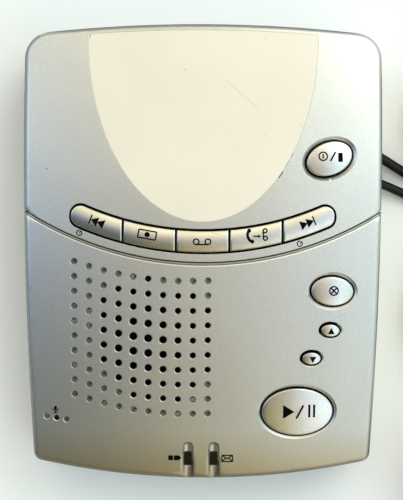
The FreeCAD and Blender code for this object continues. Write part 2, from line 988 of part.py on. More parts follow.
# ================================================================ keys
def row_crown():
    """Ring whose top is the rounded crown of the row keys and follows the domed face along the row."""
    middle_y = arc_centre_y - (row_inner_radius + row_outer_radius) / 2
    lean = math.asin((middle_y - crown_y) / crown_radius)
    spread = math.atan((row_inner_radius + row_outer_radius) / 2 / crown_radius)
    ball_centre = Vector(0, crown_y, crown_height - crown_radius)
    reach = crown_radius + row_rise - row_crown_radius
    section_centre = ball_centre + Vector(0, math.sin(lean), math.cos(lean)) * reach
    axis = Vector(0, math.sin(lean + spread), math.cos(lean + spread))
    circle = Part.Circle(section_centre, Vector(1, 0, 0), row_crown_radius)
    section = Part.Face(Part.Wire(circle.toShape()))
    half_turn = 40.0
    section.rotate(ball_centre, axis, -half_turn)
    return section.revolve(ball_centre, axis, 2 * half_turn)


def key_solid(cap, hollow, flange, x, y):
    """Key from its cap, the hollow under it, its flange and the stem down to the rubber dome."""
    flange_top = dome(-wall - key_flange_clearance)
    flange_low = dome(-wall - key_flange_clearance - key_flange_thickness)
    key = cap.cut(flange_low).fuse(flange.common(flange_top).cut(flange_low))
    if hollow:
        key = key.cut(hollow.common(dome(-key_roof)))
    stem_foot = key_board_top + dome_height + dome_gap
    stem = cylinder(x, y, stem_foot, face_height(x, y) - key_roof + 0.4, key_stem_radius)
    return joined([key, stem])


def soften(cap, radius):
    """Round the rim of a cap's crown."""
    crown = max(cap.Faces, key=lambda face: face.CenterOfMass.z)
    return cap.makeFillet(radius, crown.Edges)


def make_row_key(index, crown):
    """One of the five keys of the curved row."""
    left, right, round_left, round_right = row_key_span(index)
    x, y = row_key_place(index)
    cap = row_block(row_gap, left, right, round_left, round_right).common(crown)
    cap = soften(cap, key_edge_radius)
    inset = row_gap + key_wall
    hollow = row_block(inset, left + key_wall, right - key_wall, round_left, round_right)
    flange = row_block(
        row_gap - key_flange,
        left - (key_flange if round_left else 0),
        right + (key_flange if round_right else 0),
        round_left,
        round_right,
    )
    return key_solid(cap, hollow, flange, x, y)


def make_row_keys():
    """The five keys of the curved row; those right of the middle mirror those left of it."""
    crown = row_crown()
    half = len(row_names) // 2
    left_keys = [make_row_key(index, crown) for index in range(half)]
    right_keys = [key.mirror(Vector(0, 0, 0), Vector(1, 0, 0)) for key in reversed(left_keys)]
    return left_keys + [make_row_key(half, crown)] + right_keys


def make_oval_key(name):
    """One of the five oval keys."""
    x, y, half_length, half_width, _turn, _ring, rise = oval_keys[name]
    ball_radius = (half_length**2 + rise**2) / (2 * rise)
    ball = Part.makeSphere(ball_radius)
    ball.rotate(Vector(0, 0, 0), Vector(0, 1, 0), 90)
    crown = on_face(ball, x, y, lift=rise - ball_radius)
    low_z = face_height(x, y) - rise * 2
    cap = oval_block(name, 0, z0=low_z).common(crown)
    cap = soften(cap, min(key_edge_radius, rise / 2))
    cap = cap.fuse(oval_block(name, 0, z1=low_z)).removeSplitter()
    hollow = oval_block(name, -key_wall) if half_width > hollow_key_min_width else None
    flange = oval_block(name, key_flange)
    return key_solid(cap, hollow, flange, x, y)


def key_places():
    """Stem centre of every key, by name."""
    places = {name: row_key_place(index) for index, name in enumerate(row_names)}
    for name, values in oval_keys.items():
        places[name] = values[:2]
    return places


def make_dome(x, y):
    """Hollow silicone dome between the board and a key's stem."""
    base = key_board_top
    top = base + dome_height
    return turned(
        x,
        y,
        (
            (0, top),
            (dome_neck_radius, top),
            (dome_neck_radius, top - dome_neck_height),
            (dome_radius, base + mat_thickness),
            (dome_radius, base),
            (dome_radius - dome_wall, base),
            (dome_neck_radius - dome_wall / 2, top - dome_roof),
            (0, top - dome_roof),
        ),
    )


# ================================================================ key board and mat
def key_board_plan():
    """Face of the key board."""
    points = [Vector(x, y, 0) for x, y in key_board_corners]
    return Part.Face(Part.makePolygon(points + points[:1]))


def make_key_board():
    """Upper circuit board, screwed to the cover under the keys."""
    board = key_board_plan().translated(Vector(0, 0, key_board_z)).extrude(Vector(0, 0, board_thickness))
    holes = [
        cylinder(x, y, key_board_z - overrun, key_board_top + overrun, board_screw_radius + screw_clearance)
        for x, y in key_board_bosses
    ]
    return board.cut(holes)


def make_keypad_mat():
    """Silicone sheet on the key board, open round the bosses and where the domes stand."""
    mat = joined([box(*field, key_board_top, key_board_top + mat_thickness) for field in mat_fields])
    low = key_board_top - overrun
    high = key_board_top + mat_thickness + overrun
    openings = [cylinder(x, y, low, high, board_boss_radius + mat_boss_gap) for x, y in key_board_bosses]
    openings += [cylinder(x, y, low, high, dome_radius + dome_gap) for x, y in key_places().values()]
    return mat.cut(openings)


# ================================================================ lower casing
def base_loft(inset, bottom, top, front_step=base_front_step):
    """Lower casing's outer form between two heights, inset, leaning in towards the bottom."""
    span = seam_height - base_bottom
    low_inset = inset + base_draft * (seam_height - bottom) / span
    high_inset = inset + base_draft * (seam_height - top) / span
    low = casing_plan(low_inset, front_step).OuterWire.translated(Vector(0, 0, bottom))
    high = casing_plan(high_inset, front_step).OuterWire.translated(Vector(0, 0, top))
    return Part.makeLoft([low, high], True, True)


def base_block():
    """Lower casing's outer form with its rounded bottom edge."""
    block = base_loft(0, base_bottom, seam_height - seam_gap)
    rim = [edge for edge in block.Edges if edge.BoundBox.ZMax < base_bottom + 0.1]
    return block.makeFillet(base_edge_radius, rim)


def base_shell():
    """Tray with the lip that locates the cover and the shelf that carries the lip."""
    top = seam_height - seam_gap
    tray = base_block().cut(base_loft(wall, base_bottom + base_floor, top + overrun))
    lip_outer = casing_plan(wall + lip_clearance).translated(Vector(0, 0, top - lip_shelf))
    lip_inner = casing_plan(wall + lip_clearance + lip_thickness).translated(Vector(0, 0, top - lip_shelf))
    height = Vector(0, 0, lip_shelf + seam_gap + lip_height)
    lip = lip_outer.extrude(height).cut(lip_inner.extrude(height))
    shelf_outer = casing_plan(wall / 2).translated(Vector(0, 0, top - lip_shelf))
    shelf_inner = casing_plan(wall + lip_thickness).translated(Vector(0, 0, top - lip_shelf))
    shelf = shelf_outer.cut(shelf_inner).extrude(Vector(0, 0, lip_shelf))
    return joined([tray, shelf, lip])


def bay_profile(grow, depth_extra):
    """Block with the cord bay's section: high over the plugs, sloping down to the side wall."""
    low = base_bottom - depth_extra
    points = [
        Vector(bay_left - grow, 0, low),
        Vector(bay_left - grow, 0, bay_top + grow),
        Vector(bay_slope_x + grow / 2, 0, bay_top + grow),
        Vector(bay_right(), 0, bay_right_top + grow),
        Vector(bay_right(), 0, low),
    ]
    face = Part.Face(Part.makePolygon(points + points[:1]))
    face.translate(Vector(0, bay_front - grow, 0))
    return face.extrude(Vector(0, bay_rear - bay_front + 2 * grow, 0))


def cord_notch(y):
    """Cutter for an arched notch through the right-hand wall, open at the bottom."""
    radius = notch_width / 2
    spring = notch_height - radius
    x0 = bay_right() - notch_reach
    x1 = case_width_rear / 2 + notch_reach
    arch = Part.makeCylinder(radius, x1 - x0, Vector(x0, y, spring), Vector(1, 0, 0))
    return arch.fuse(box(x0, x1, y - radius, y + radius, 0, spring))


def jack_openings():
    """Cutters in the bay's inner wall for the faces of the two jacks."""
    grow = jack_gap
    x0 = bay_left - bay_wall - overrun
    low = main_board_top - grow
    return [
        box(
            x0,
            bay_left + overrun,
            line_jack_y - line_jack_width / 2 - grow,
            line_jack_y + line_jack_width / 2 + grow,
            low,
            main_board_top + line_jack_height + grow,
        ),
        box(
            x0,
            bay_left + overrun,
            power_jack_y - power_jack_width / 2 - grow,
            power_jack_y + power_jack_width / 2 + grow,
            low,
            main_board_top + power_jack_height + grow,
        ),
    ]


def compartment_block(grow, low, high):
    """Block of the battery compartment."""
    return box(
        compartment_left - grow,
        compartment_right + grow,
        compartment_front - grow,
        compartment_rear + grow,
        low,
        high,
    )


def make_base():
    """Lower casing with its battery compartment, cord bay, screw wells and board posts."""
    parts = [base_shell()]
    parts.append(compartment_block(compartment_wall, base_bottom, compartment_top + compartment_wall))
    parts.append(bay_profile(bay_wall, 0))
    well_top = seam_height - boss_gap
    for x, y in case_bosses:
        parts.append(cylinder(x, y, base_bottom, well_top, case_boss_radius + screw_well_wall))
    for x, y in main_board_posts:
        parts.append(cylinder(x, y, base_bottom + overrun, main_board_z, board_boss_radius))
    rib_top = base_bottom + base_floor + rib_height
    rib_low = base_bottom + overrun
    for x in base_rib_places:
        parts.append(box(x, x + rib_thickness, base_rib_front, base_rib_rear, rib_low, rib_top))
    base = joined(parts)
    cutters = [
        compartment_block(0, base_bottom - overrun, compartment_top),
        lid_block(0, base_bottom - overrun, base_bottom + lid_ledge),
        lid_block(lid_tongue, base_bottom + lid_ledge, base_bottom + lid_thickness + lid_clearance),
        bay_profile(0, overrun),
        cord_notch(line_notch_y),
        cord_notch(power_notch_y),
    ]
    cutters += jack_openings()
    head_bore_radius = screw_head_radius + screw_head_gap
    shank_bore_radius = screw_radius + screw_clearance
    for x, y in case_bosses:
        cutters.append(cylinder(x, y, base_bottom - overrun, screw_seat_z, head_bore_radius))
        cutters.append(cylinder(x, y, screw_seat_z - overrun, seam_height + overrun, shank_bore_radius))
    for x, y in main_board_posts:
        bore_radius = board_screw_radius + screw_clearance
        cutters.append(cylinder(x, y, base_bottom + post_bore_floor, main_board_z + overrun, bore_radius))
    for x, y in feet_places:
        recess_top = base_bottom + foot_recess
        cutters.append(cylinder(x, y, base_bottom - overrun, recess_top, foot_radius + foot_gap))
    return base.cut(cutters)


def lid_block(grow, low, high):
    """Block as wide as the battery compartment, grown sideways, that runs out through the rear edge."""
    return box(
        compartment_left - grow,
        compartment_right + grow,
        compartment_front - grow,
        rear_y + overrun,
        low,
        high,
    )


def make_battery_lid():
    """Lid over the battery, with tongues that run in the base's grooves and a ribbed finger recess."""
    low = base_bottom
    lid = joined(
        [
            lid_block(-lid_clearance, low, low + lid_thickness),
            lid_block(lid_tongue - lid_clearance, low + lid_ledge + lid_clearance, low + lid_thickness),
        ]
    )
    lid = lid.common(base_block())
    grip_x = (compartment_left + compartment_right) / 2
    grip_y = compartment_rear - grip_setback
    recess = Part.makeSphere(grip_radius, Vector(grip_x, grip_y, low - grip_sunk))
    ribs = []
    for step in (-1, 0, 1):
        rib_y = grip_y + step * grip_rib_pitch
        ribs.append(
            box(
                grip_x - grip_rib_half_length,
                grip_x + grip_rib_half_length,
                rib_y - grip_rib_half_width,
                rib_y + grip_rib_half_width,
                low + grip_rib_low,
                low + grip_rib_high,
            )
        )
    return joined([lid.cut(recess)] + ribs)


def make_case_screws():
    """Four screws that go up through the base into the cover."""
    screws = []
    for x, y in case_bosses:
        head_low = screw_seat_z - screw_head_height
        head = cylinder(x, y, head_low, screw_seat_z, screw_head_radius)
        shank = cylinder(x, y, screw_seat_z, screw_seat_z + screw_length, screw_radius)
        screw = joined([head, shank])
        for half_x, half_y in (
            (drive_half_length, drive_half_width),
            (drive_half_width, drive_half_length),
        ):
            slot = box(x - half_x, x + half_x, y - half_y, y + half_y, 0, head_low + drive_depth)
            screw = screw.cut(slot)
        screws.append(screw)
    return group(screws)


def small_screw(x, y, seat, direction, length):
    """Small screw whose head sits on seat and whose shank points up (1) or down (-1)."""
    head = cylinder(x, y, 0, board_screw_head_height, board_screw_head_radius)
    shank = cylinder(x, y, -length, 0, board_screw_radius)
    screw = head.fuse(shank).removeSplitter()
    if direction > 0:
        screw.rotate(Vector(x, y, 0), Vector(1, 0, 0), 180)
    screw.translate(Vector(0, 0, seat))
    return screw


def make_inner_screws():
    """Screws of both boards and of the loudspeaker, whose washers grip its rim."""
    screws = [small_screw(x, y, key_board_z, 1, board_screw_length) for x, y in key_board_bosses]
    post_depth = main_board_top - base_bottom - post_bore_floor - screw_tip_gap
    screws += [small_screw(x, y, main_board_top, -1, post_depth) for x, y in main_board_posts]
    for x, y in speaker_screw_places():
        seat = speaker_screw_seat()
        length = washer_thickness + speaker_screw_depth(x, y) - speaker_screw_gap
        screw = small_screw(x, y, seat - washer_thickness, 1, length)
        washer = cylinder(x, y, seat - washer_thickness, seat, washer_radius)
        screws.append(screw.fuse(washer).removeSplitter())
    return group(screws)


def make_feet():
    """Four rubber feet let into the bottom."""
    feet = []
    for x, y in feet_places:
        foot = cylinder(x, y, 0, base_bottom + foot_recess, foot_radius)
        rim = [edge for edge in foot.Edges if edge.BoundBox.ZMax < tiny]
        feet.append(foot.makeFillet(foot_edge_radius, rim))
    return group(feet)


# ================================================================ main board and what it carries
def make_main_board():
    """Lower circuit board on its posts in the base."""
    board = box(
        main_board_left, main_board_right, main_board_front, main_board_rear, main_board_z, main_board_top
    )
    holes = [
        cylinder(x, y, main_board_z - overrun, main_board_top + overrun, board_screw_radius + screw_clearance)
        for x, y in main_board_posts
    ]
    return board.cut(holes)


def make_chips():
    """Processor, message memory and codec."""
    chips = []
    for x, y, width, length, height in chip_places:
        chip = Part.makeBox(width, length, height, Vector(x - width / 2, y - length / 2, main_board_top))
        chips.append(chip)
    return group(chips)


def make_capacitors():
    """Electrolytic capacitors standing on the main board."""
    low = main_board_top
    return group([cylinder(x, y, low, low + height, radius) for x, y, radius, height in capacitor_places])


def make_line_transformer():
    """Line transformer: laminated core with two windows round a wound bobbin."""
    x, y = transformer_x, transformer_y
    width, length, height = transformer_core
    low = main_board_top + transformer_foot_height
    core = box(x - width / 2, x + width / 2, y - length / 2, y + length / 2, low, low + height)
    side = width / 2 - transformer_leg
    inner = side - transformer_leg
    window_low = low + height * transformer_yoke_share
    window_high = low + height * (1 - transformer_yoke_share)
    windows = [
        box(x - side, x - inner, y - length, y + length, window_low, window_high),
        box(x + inner, x + side, y - length, y + length, window_low, window_high),
    ]
    bobbin = box(
        x - bobbin_width / 2,
        x + bobbin_width / 2,
        y - bobbin_length / 2,
        y + bobbin_length / 2,
        window_low + bobbin_gap,
        window_high - bobbin_gap,
    )
    foot = box(x - side, x + side, y - bobbin_length / 2, y + bobbin_length / 2, main_board_top, low)
    return joined([core.cut(windows), bobbin, foot])


def make_line_relay():
    """Line relay in its sealed case."""
    top = main_board_top + relay_height
    case = box(
        relay_left, relay_left + relay_width, relay_front, relay_front + relay_length, main_board_top, top
    )
    rim = [edge for edge in case.Edges if edge.BoundBox.ZMin > top - relay_edge]
    return case.makeChamfer(relay_edge, rim)


def make_board_ribbon():
    """Flat ribbon that joins the two boards."""
    low, high = main_board_top, key_board_z
    header = box(
        ribbon_left,
        ribbon_left + header_width,
        ribbon_front - header_overhang,
        ribbon_rear + header_overhang,
        low,
        low + header_height,
    )
    x = ribbon_left + (header_width - ribbon_thickness) / 2
    bend = high - ribbon_bend_drop
    points = [
        Vector(x, ribbon_front, low + header_height),
        Vector(x, ribbon_front, bend),
        Vector(ribbon_left + ribbon_reach, ribbon_front, high),
        Vector(ribbon_left + ribbon_reach + ribbon_thickness, ribbon_front, high),
        Vector(x + ribbon_thickness, ribbon_front, bend - ribbon_thickness),
        Vector(x + ribbon_thickness, ribbon_front, low + header_height),
    ]
    strip = Part.Face(Part.makePolygon(points + points[:1])).extrude(Vector(0, ribbon_rear - ribbon_front, 0))
    return joined([header, strip])


def make_line_jack():
    """Modular jack on the main board, its face in the wall of the cord bay."""
    x1 = bay_left - jack_face_setback
    x0 = x1 - line_jack_length
    half = line_jack_width / 2
    top = main_board_top + line_jack_height
    body = box(x0, x1, line_jack_y - half, line_jack_y + half, main_board_top, top)
    half_plug = line_plug_width / 2 + line_plug_clearance
    half_height = line_plug_height / 2 + line_plug_clearance
    mouth_rear = x1 - line_plug_inserted - line_mouth_extra
    mouth = box(
        mouth_rear,
        x1 + overrun,
        line_jack_y - half_plug,
        line_jack_y + half_plug,
        plug_axis_z - half_height,
        plug_axis_z + half_height,
    )
    slot_top = plug_axis_z + line_plug_height / 2 + plug_latch_height + latch_slot_rise
    slot_half = plug_latch_width / 2 + latch_slot_side
    slot = box(
        mouth_rear, x1 + overrun, line_jack_y - slot_half, line_jack_y + slot_half, plug_axis_z, slot_top
    )
    return body.cut([mouth, slot])


def make_power_jack():
    """Barrel jack with its centre pin."""
    x1 = bay_left - jack_face_setback
    x0 = x1 - power_jack_length
    half = power_jack_width / 2
    top = main_board_top + power_jack_height
    body = box(x0, x1, power_jack_y - half, power_jack_y + half, main_board_top, top)
    bore_depth = power_barrel_length + jack_bore_extra
    along = Vector(1, 0, 0)
    start = Vector(x1 - bore_depth, power_jack_y, plug_axis_z)
    bore = Part.makeCylinder(power_barrel_radius + jack_bore_gap, bore_depth + overrun, start, along)
    pin_start = start - along * jack_bore_extra
    pin = Part.makeCylinder(power_bore_radius - jack_pin_gap, bore_depth - overrun, pin_start, along)
    return joined([body.cut(bore), pin])


# ================================================================ loudspeaker and microphone
def make_speaker_frame():
    """Pressed basket: flat rim, cone-shaped side with four windows, and a back ring."""
    top = speaker_seat_z - gasket_thickness
    low = top - speaker_flange_thickness
    back = top - speaker_depth + speaker_magnet_height
    frame = turned(
        speaker_x,
        speaker_y,
        (
            (speaker_radius, top),
            (basket_rim_inner, top),
            (basket_back_radius, back + basket_sheet),
            (basket_hole_radius, back + basket_sheet),
            (basket_hole_radius, back),
            (basket_back_foot, back),
            (basket_rim_foot, low),
            (speaker_radius, low),
        ),
    )
    windows = []
    for quarter in range(4):
        cutter = box(
            basket_window_inner,
            basket_window_outer,
            -basket_window_width / 2,
            basket_window_width / 2,
            back + basket_window_low,
            low - basket_window_high,
        )
        cutter.rotate(Vector(0, 0, 0), Vector(0, 0, 1), 45 + 90 * quarter)
        cutter.translate(Vector(speaker_x, speaker_y, 0))
        windows.append(cutter)
    return frame.cut(windows)


def make_speaker_magnet():
    """Magnet between its two plates, with the pole in the middle."""
    back = speaker_seat_z - gasket_thickness - speaker_depth
    top = back + speaker_magnet_height
    radius = speaker_magnet_radius
    return turned(
        speaker_x,
        speaker_y,
        (
            (0, back),
            (radius - magnet_plate, back),
            (radius - magnet_plate, back + magnet_plate),
            (radius, back + magnet_plate),
            (radius, top - magnet_plate),
            (radius - magnet_plate, top - magnet_plate),
            (radius - magnet_plate, top),
            (magnet_gap_outer, top),
            (magnet_gap_outer, back + magnet_gap_floor),
            (magnet_gap_inner, back + magnet_gap_floor),
            (magnet_gap_inner, top),
            (0, top),
        ),
    )


def make_speaker_cone():
    """Paper cone with its rolled edge, dust cap and voice coil."""
    rim_z = speaker_seat_z - gasket_thickness
    throat_z = rim_z - cone_depth
    outline = [
        (0, throat_z + cap_rise),
        (cap_shoulder_radius, throat_z + cap_shoulder_rise),
        (coil_radius, throat_z + cap_foot_rise),
        (surround_inner, rim_z - surround_dip),
        (surround_roll_inner, rim_z + surround_crest),
        (surround_roll_outer, rim_z + surround_crest),
        (surround_foot, rim_z + surround_thickness),
        (surround_outer, rim_z + surround_thickness),
        (surround_outer, rim_z),
        (surround_foot - coil_former, rim_z),
        (surround_roll_outer - coil_former, rim_z - coil_former / 2),
        (surround_roll_inner + surround_thickness, rim_z - coil_former / 2),
        (surround_inner + coil_former / 2, rim_z - surround_dip - 2 * surround_thickness),
        (coil_radius + coil_former, throat_z - cone_paper),
        (coil_radius + coil_former, throat_z - coil_length),
        (coil_radius - coil_former, throat_z - coil_length),
        (coil_radius - coil_former, throat_z - coil_former),
        (cap_shoulder_radius - coil_former, throat_z + cap_shoulder_rise - cap_thickness),
        (0, throat_z + cap_rise - cap_thickness),
    ]
    return turned(speaker_x, speaker_y, outline)


def make_speaker_gasket():
    """Felt ring between the loudspeaker's rim and its seat."""
    low = speaker_seat_z - gasket_thickness
    return tube(speaker_x, speaker_y, low, speaker_seat_z, speaker_radius - gasket_width, speaker_radius)


def make_microphone():
    """Microphone capsule."""
    top = microphone_top() - mic_boot_roof
    body = cylinder(mic_x, mic_y, top - mic_height, top, mic_radius)
    port = cylinder(mic_x, mic_y, top - mic_port_depth, top + overrun, mic_port_radius)
    return body.cut(port)


def make_microphone_boot():
    """Rubber boot that holds the capsule against the face."""
    top = microphone_top()
    outer = mic_radius + mic_boot_wall - mic_boot_clearance
    boot_low = top - mic_height - mic_boot_roof
    boot = cylinder(mic_x, mic_y, boot_low, top, outer)
    pocket = cylinder(mic_x, mic_y, boot_low - overrun, top - mic_boot_roof, mic_radius)
    port = cylinder(mic_x, mic_y, boot_low, top + overrun, mic_port_radius)
    return boot.cut([pocket, port])


# ================================================================ battery
def battery_snaps(x, radius, height):
    """Two studs on the end of the battery."""
    middle_y = (compartment_front + compartment_rear) / 2
    middle_z = battery_low() + battery_height / 2
    studs = []
    for side in (-1, 1):
        start = Vector(x, middle_y + side * snap_spacing / 2, middle_z)
        studs.append(Part.makeCylinder(radius, height, start, Vector(1, 0, 0)))
    return studs


def battery_low():
    """Height of the battery's underside."""
    return base_bottom + base_floor + battery_lift


def make_backup_battery():
    """Nine-volt block on its side, studs to the right."""
    x0 = compartment_left + battery_end_gap
    middle_y = (compartment_front + compartment_rear) / 2
    low = battery_low()
    half = battery_width / 2
    body = box(x0, x0 + battery_length, middle_y - half, middle_y + half, low, low + battery_height)
    long_edges = [edge for edge in body.Edges if edge.BoundBox.XLength > battery_length - 1]
    body = body.makeFillet(battery_edge_radius, long_edges)
    return joined([body] + battery_snaps(x0 + battery_length, snap_radius, snap_height))


def make_battery_clip():
    """Clip with the mating contacts, pushed on the studs."""
    x0 = compartment_left + battery_end_gap + battery_length + battery_clip_gap
    middle_y = (compartment_front + compartment_rear) / 2
    middle_z = battery_low() + battery_height / 2
    half = battery_width / 2 - battery_clip_inset
    low = middle_z - battery_clip_height / 2
    high = middle_z + battery_clip_height / 2
    clip = box(x0, x0 + battery_clip_thickness, middle_y - half, middle_y + half, low, high)
    ends = [edge for edge in clip.Edges if edge.BoundBox.XLength > battery_clip_thickness - 0.1]
    clip = clip.makeFillet(battery_clip_corner, ends)
    return clip.cut(battery_snaps(x0 - overrun, snap_radius + snap_clearance, snap_height + overrun))


# ================================================================ cords
def tube_path(points):
    """Straight runs joined by tangent arcs; returns the path and the arcs' radii."""
    corners = [Vector(*point) for point in points]
    edges = []
    radii = []
    start = corners[0]
    for before, corner, after in zip(corners, corners[1:], corners[2:]):
        to_before = before - corner
        to_after = after - corner
        shorter = min(to_before.Length, to_after.Length)
        half_turn = (math.pi - to_before.getAngle(to_after)) / 2
        reach = 0.45 * shorter
        radii.append(reach / math.tan(half_turn))
        first = corner + to_before.normalize() * reach
        last = corner + to_after.normalize() * reach
        bisector = (to_before + to_after).normalize()
        centre_distance = radii[-1] / math.cos(half_turn)
        middle = corner + bisector * (centre_distance - radii[-1])
        edges.append(Part.LineSegment(start, first).toShape())
        edges.append(Part.Arc(first, middle, last).toShape())
        start = last
    edges.append(Part.LineSegment(start, corners[-1]).toShape())
    return Part.Wire(edges), radii


def cord_tube(name, points, diameter):
    """Round cord along a route; prints its length, arc radii and volume against section times length."""
    path, radii = tube_path(points)
    heading = Vector(*points[1]) - Vector(*points[0])
    circle = Part.Circle(Vector(*points[0]), heading, diameter / 2)
    cord = path.makePipeShell([Part.Wire(circle.toShape())], True, False)
    expected = math.pi * diameter**2 / 4 * path.Length
    print(name, "length", round(path.Length, 1), "volume ratio", round(cord.Volume / expected, 4))
    print(name, "arc radii", [round(radius, 1) for radius in radii])
    return cord


def make_coil(x, y, radius, diameter):
    """Outer shape of a tied coil: a ring of rounded square section."""
    half = coil_turns_across * diameter / 2
    height = coil_turns_high * diameter
    profile = [
        Vector(x + radius - half, y, coil_lift),
        Vector(x + radius + half, y, coil_lift),
        Vector(x + radius + half, y, coil_lift + height),
        Vector(x + radius - half, y, coil_lift + height),
    ]
    face = Part.Face(Part.makePolygon(profile + profile[:1]))
    coil = face.revolve(Vector(x, y, 0), Vector(0, 0, 1), 360)
    return coil.makeChamfer(diameter * coil_corner_share, coil.Edges)


def make_tie(x, y, radius, diameter, angle):
    """Band round a coil's turns."""
    half = coil_turns_across * diameter / 2
    height = coil_turns_high * diameter
    low = coil_lift
    outer = box(
        radius - half - tie_thickness,
        radius + half + tie_thickness,
        -tie_width / 2,
        tie_width / 2,
        low - tie_thickness,
        low + height + tie_thickness,
    )
    reach = diameter * coil_corner_share
    long_edges = [edge for edge in outer.Edges if edge.BoundBox.YLength > tie_width - 0.1]
    outer = outer.makeChamfer(reach, long_edges)
    outer.rotate(Vector(0, 0, 0), Vector(0, 0, 1), angle)
    outer.translate(Vector(x, y, 0))
    return outer.cut(make_coil(x, y, radius, diameter))


def make_cord_ties():
    """The two bands that hold the coils."""
    return group(
        [
            make_tie(line_coil_x, line_coil_y, line_coil_radius, line_cord_diameter, line_tie_angle),
            make_tie(power_coil_x, power_coil_y, power_coil_radius, power_cord_diameter, power_tie_angle),
        ]
    )


def line_plug_at(nose, heading):
    """Modular plug with its latch, nose at a point and pointing against heading."""
    half_width = line_plug_width / 2
    half_height = line_plug_height / 2
    body = box(0, line_plug_length, -half_width, half_width, -half_height, half_height)
    latch_half = plug_latch_width / 2
    latch_top = half_height + plug_latch_height
    latch_end = line_plug_length + plug_latch_tail
    latch = box(plug_latch_start, latch_end, -latch_half, latch_half, 0, latch_top)
    neck_radius = line_cord_diameter / 2 + plug_neck_wall
    neck_start = Vector(line_plug_length - tiny, 0, 0)
    neck = Part.makeCylinder(neck_radius, plug_neck_length, neck_start, Vector(1, 0, 0))
    plug = joined([body, latch, neck])
    plug.rotate(Vector(0, 0, 0), Vector(0, 0, 1), heading)
    plug.translate(nose)
    return plug


def make_power_plug():
    """Barrel plug with its ribbed grip and bend relief, turned in one piece."""
    tip = Vector(bay_left - jack_face_setback + plug_gap - power_barrel_length, power_jack_y, plug_axis_z)
    shoulder = power_barrel_length
    grip_end = shoulder + power_plug_length
    boot_end = grip_end + power_boot_length
    outline = [(0, power_bore_radius), (0, power_barrel_radius), (shoulder, power_barrel_radius)]
    outline += [(shoulder, power_plug_radius)]
    outline += ribbed(shoulder + 2.0, 2.0, 4, power_plug_radius, power_plug_radius, relief_groove)
    outline += [(grip_end, power_plug_radius), (grip_end, power_plug_radius - 1)]
    thin = power_cord_diameter / 2 + 0.5
    outline += ribbed(grip_end + 0.8, 1.6, 3, power_plug_radius - 1.2, thin + 0.2, relief_groove)
    outline += [(boot_end, thin), (boot_end, 0)]
    outline += [(shoulder - 1, 0), (shoulder - 1, power_bore_radius)]
    return spun(tip, Vector(1, 0, 0), outline)


def make_power_supply():
    """Plug-in power supply lying on its side, with the cord's bend relief at the rear."""
    half = supply_length / 2
    y0 = supply_rear_y - supply_width
    body = box(supply_x - half, supply_x + half, y0, supply_rear_y, 0, supply_height)
    uprights = upright_edges(body)
    body = body.makeFillet(supply_corner, uprights)
    rims = [edge for edge in body.Edges if edge.BoundBox.ZLength < tiny]
    body = body.makeFillet(supply_edge_radius, rims)
    thin = power_cord_diameter / 2 + 0.5
    outline = [(-1, 0), (-1, supply_relief_radius), (0.8, supply_relief_radius)]
    outline += ribbed(1.4, 1.8, 4, supply_relief_radius - 0.2, thin + 0.3, relief_groove)
    outline += [(supply_relief_length, thin), (supply_relief_length, 0)]
    relief = spun(Vector(supply_x, supply_rear_y, power_tail_route[-1][2]), Vector(0, 1, 0), outline)
    return joined([body, relief])


def make_supply_pins():
    """Two round contact pins."""
    y = supply_rear_y - supply_width / 2
    pins = []
    for side in (-1, 1):
        start = Vector(supply_x + supply_length / 2, y + side * pin_spacing / 2, supply_height / 2)
        pin = Part.makeCylinder(pin_radius, pin_length, start, Vector(1, 0, 0))
        tip = [edge for edge in pin.Edges if edge.BoundBox.XMin > start.x + pin_length - 0.1]
        pins.append(pin.makeFillet(pin_tip_radius, tip))
    return group(pins)


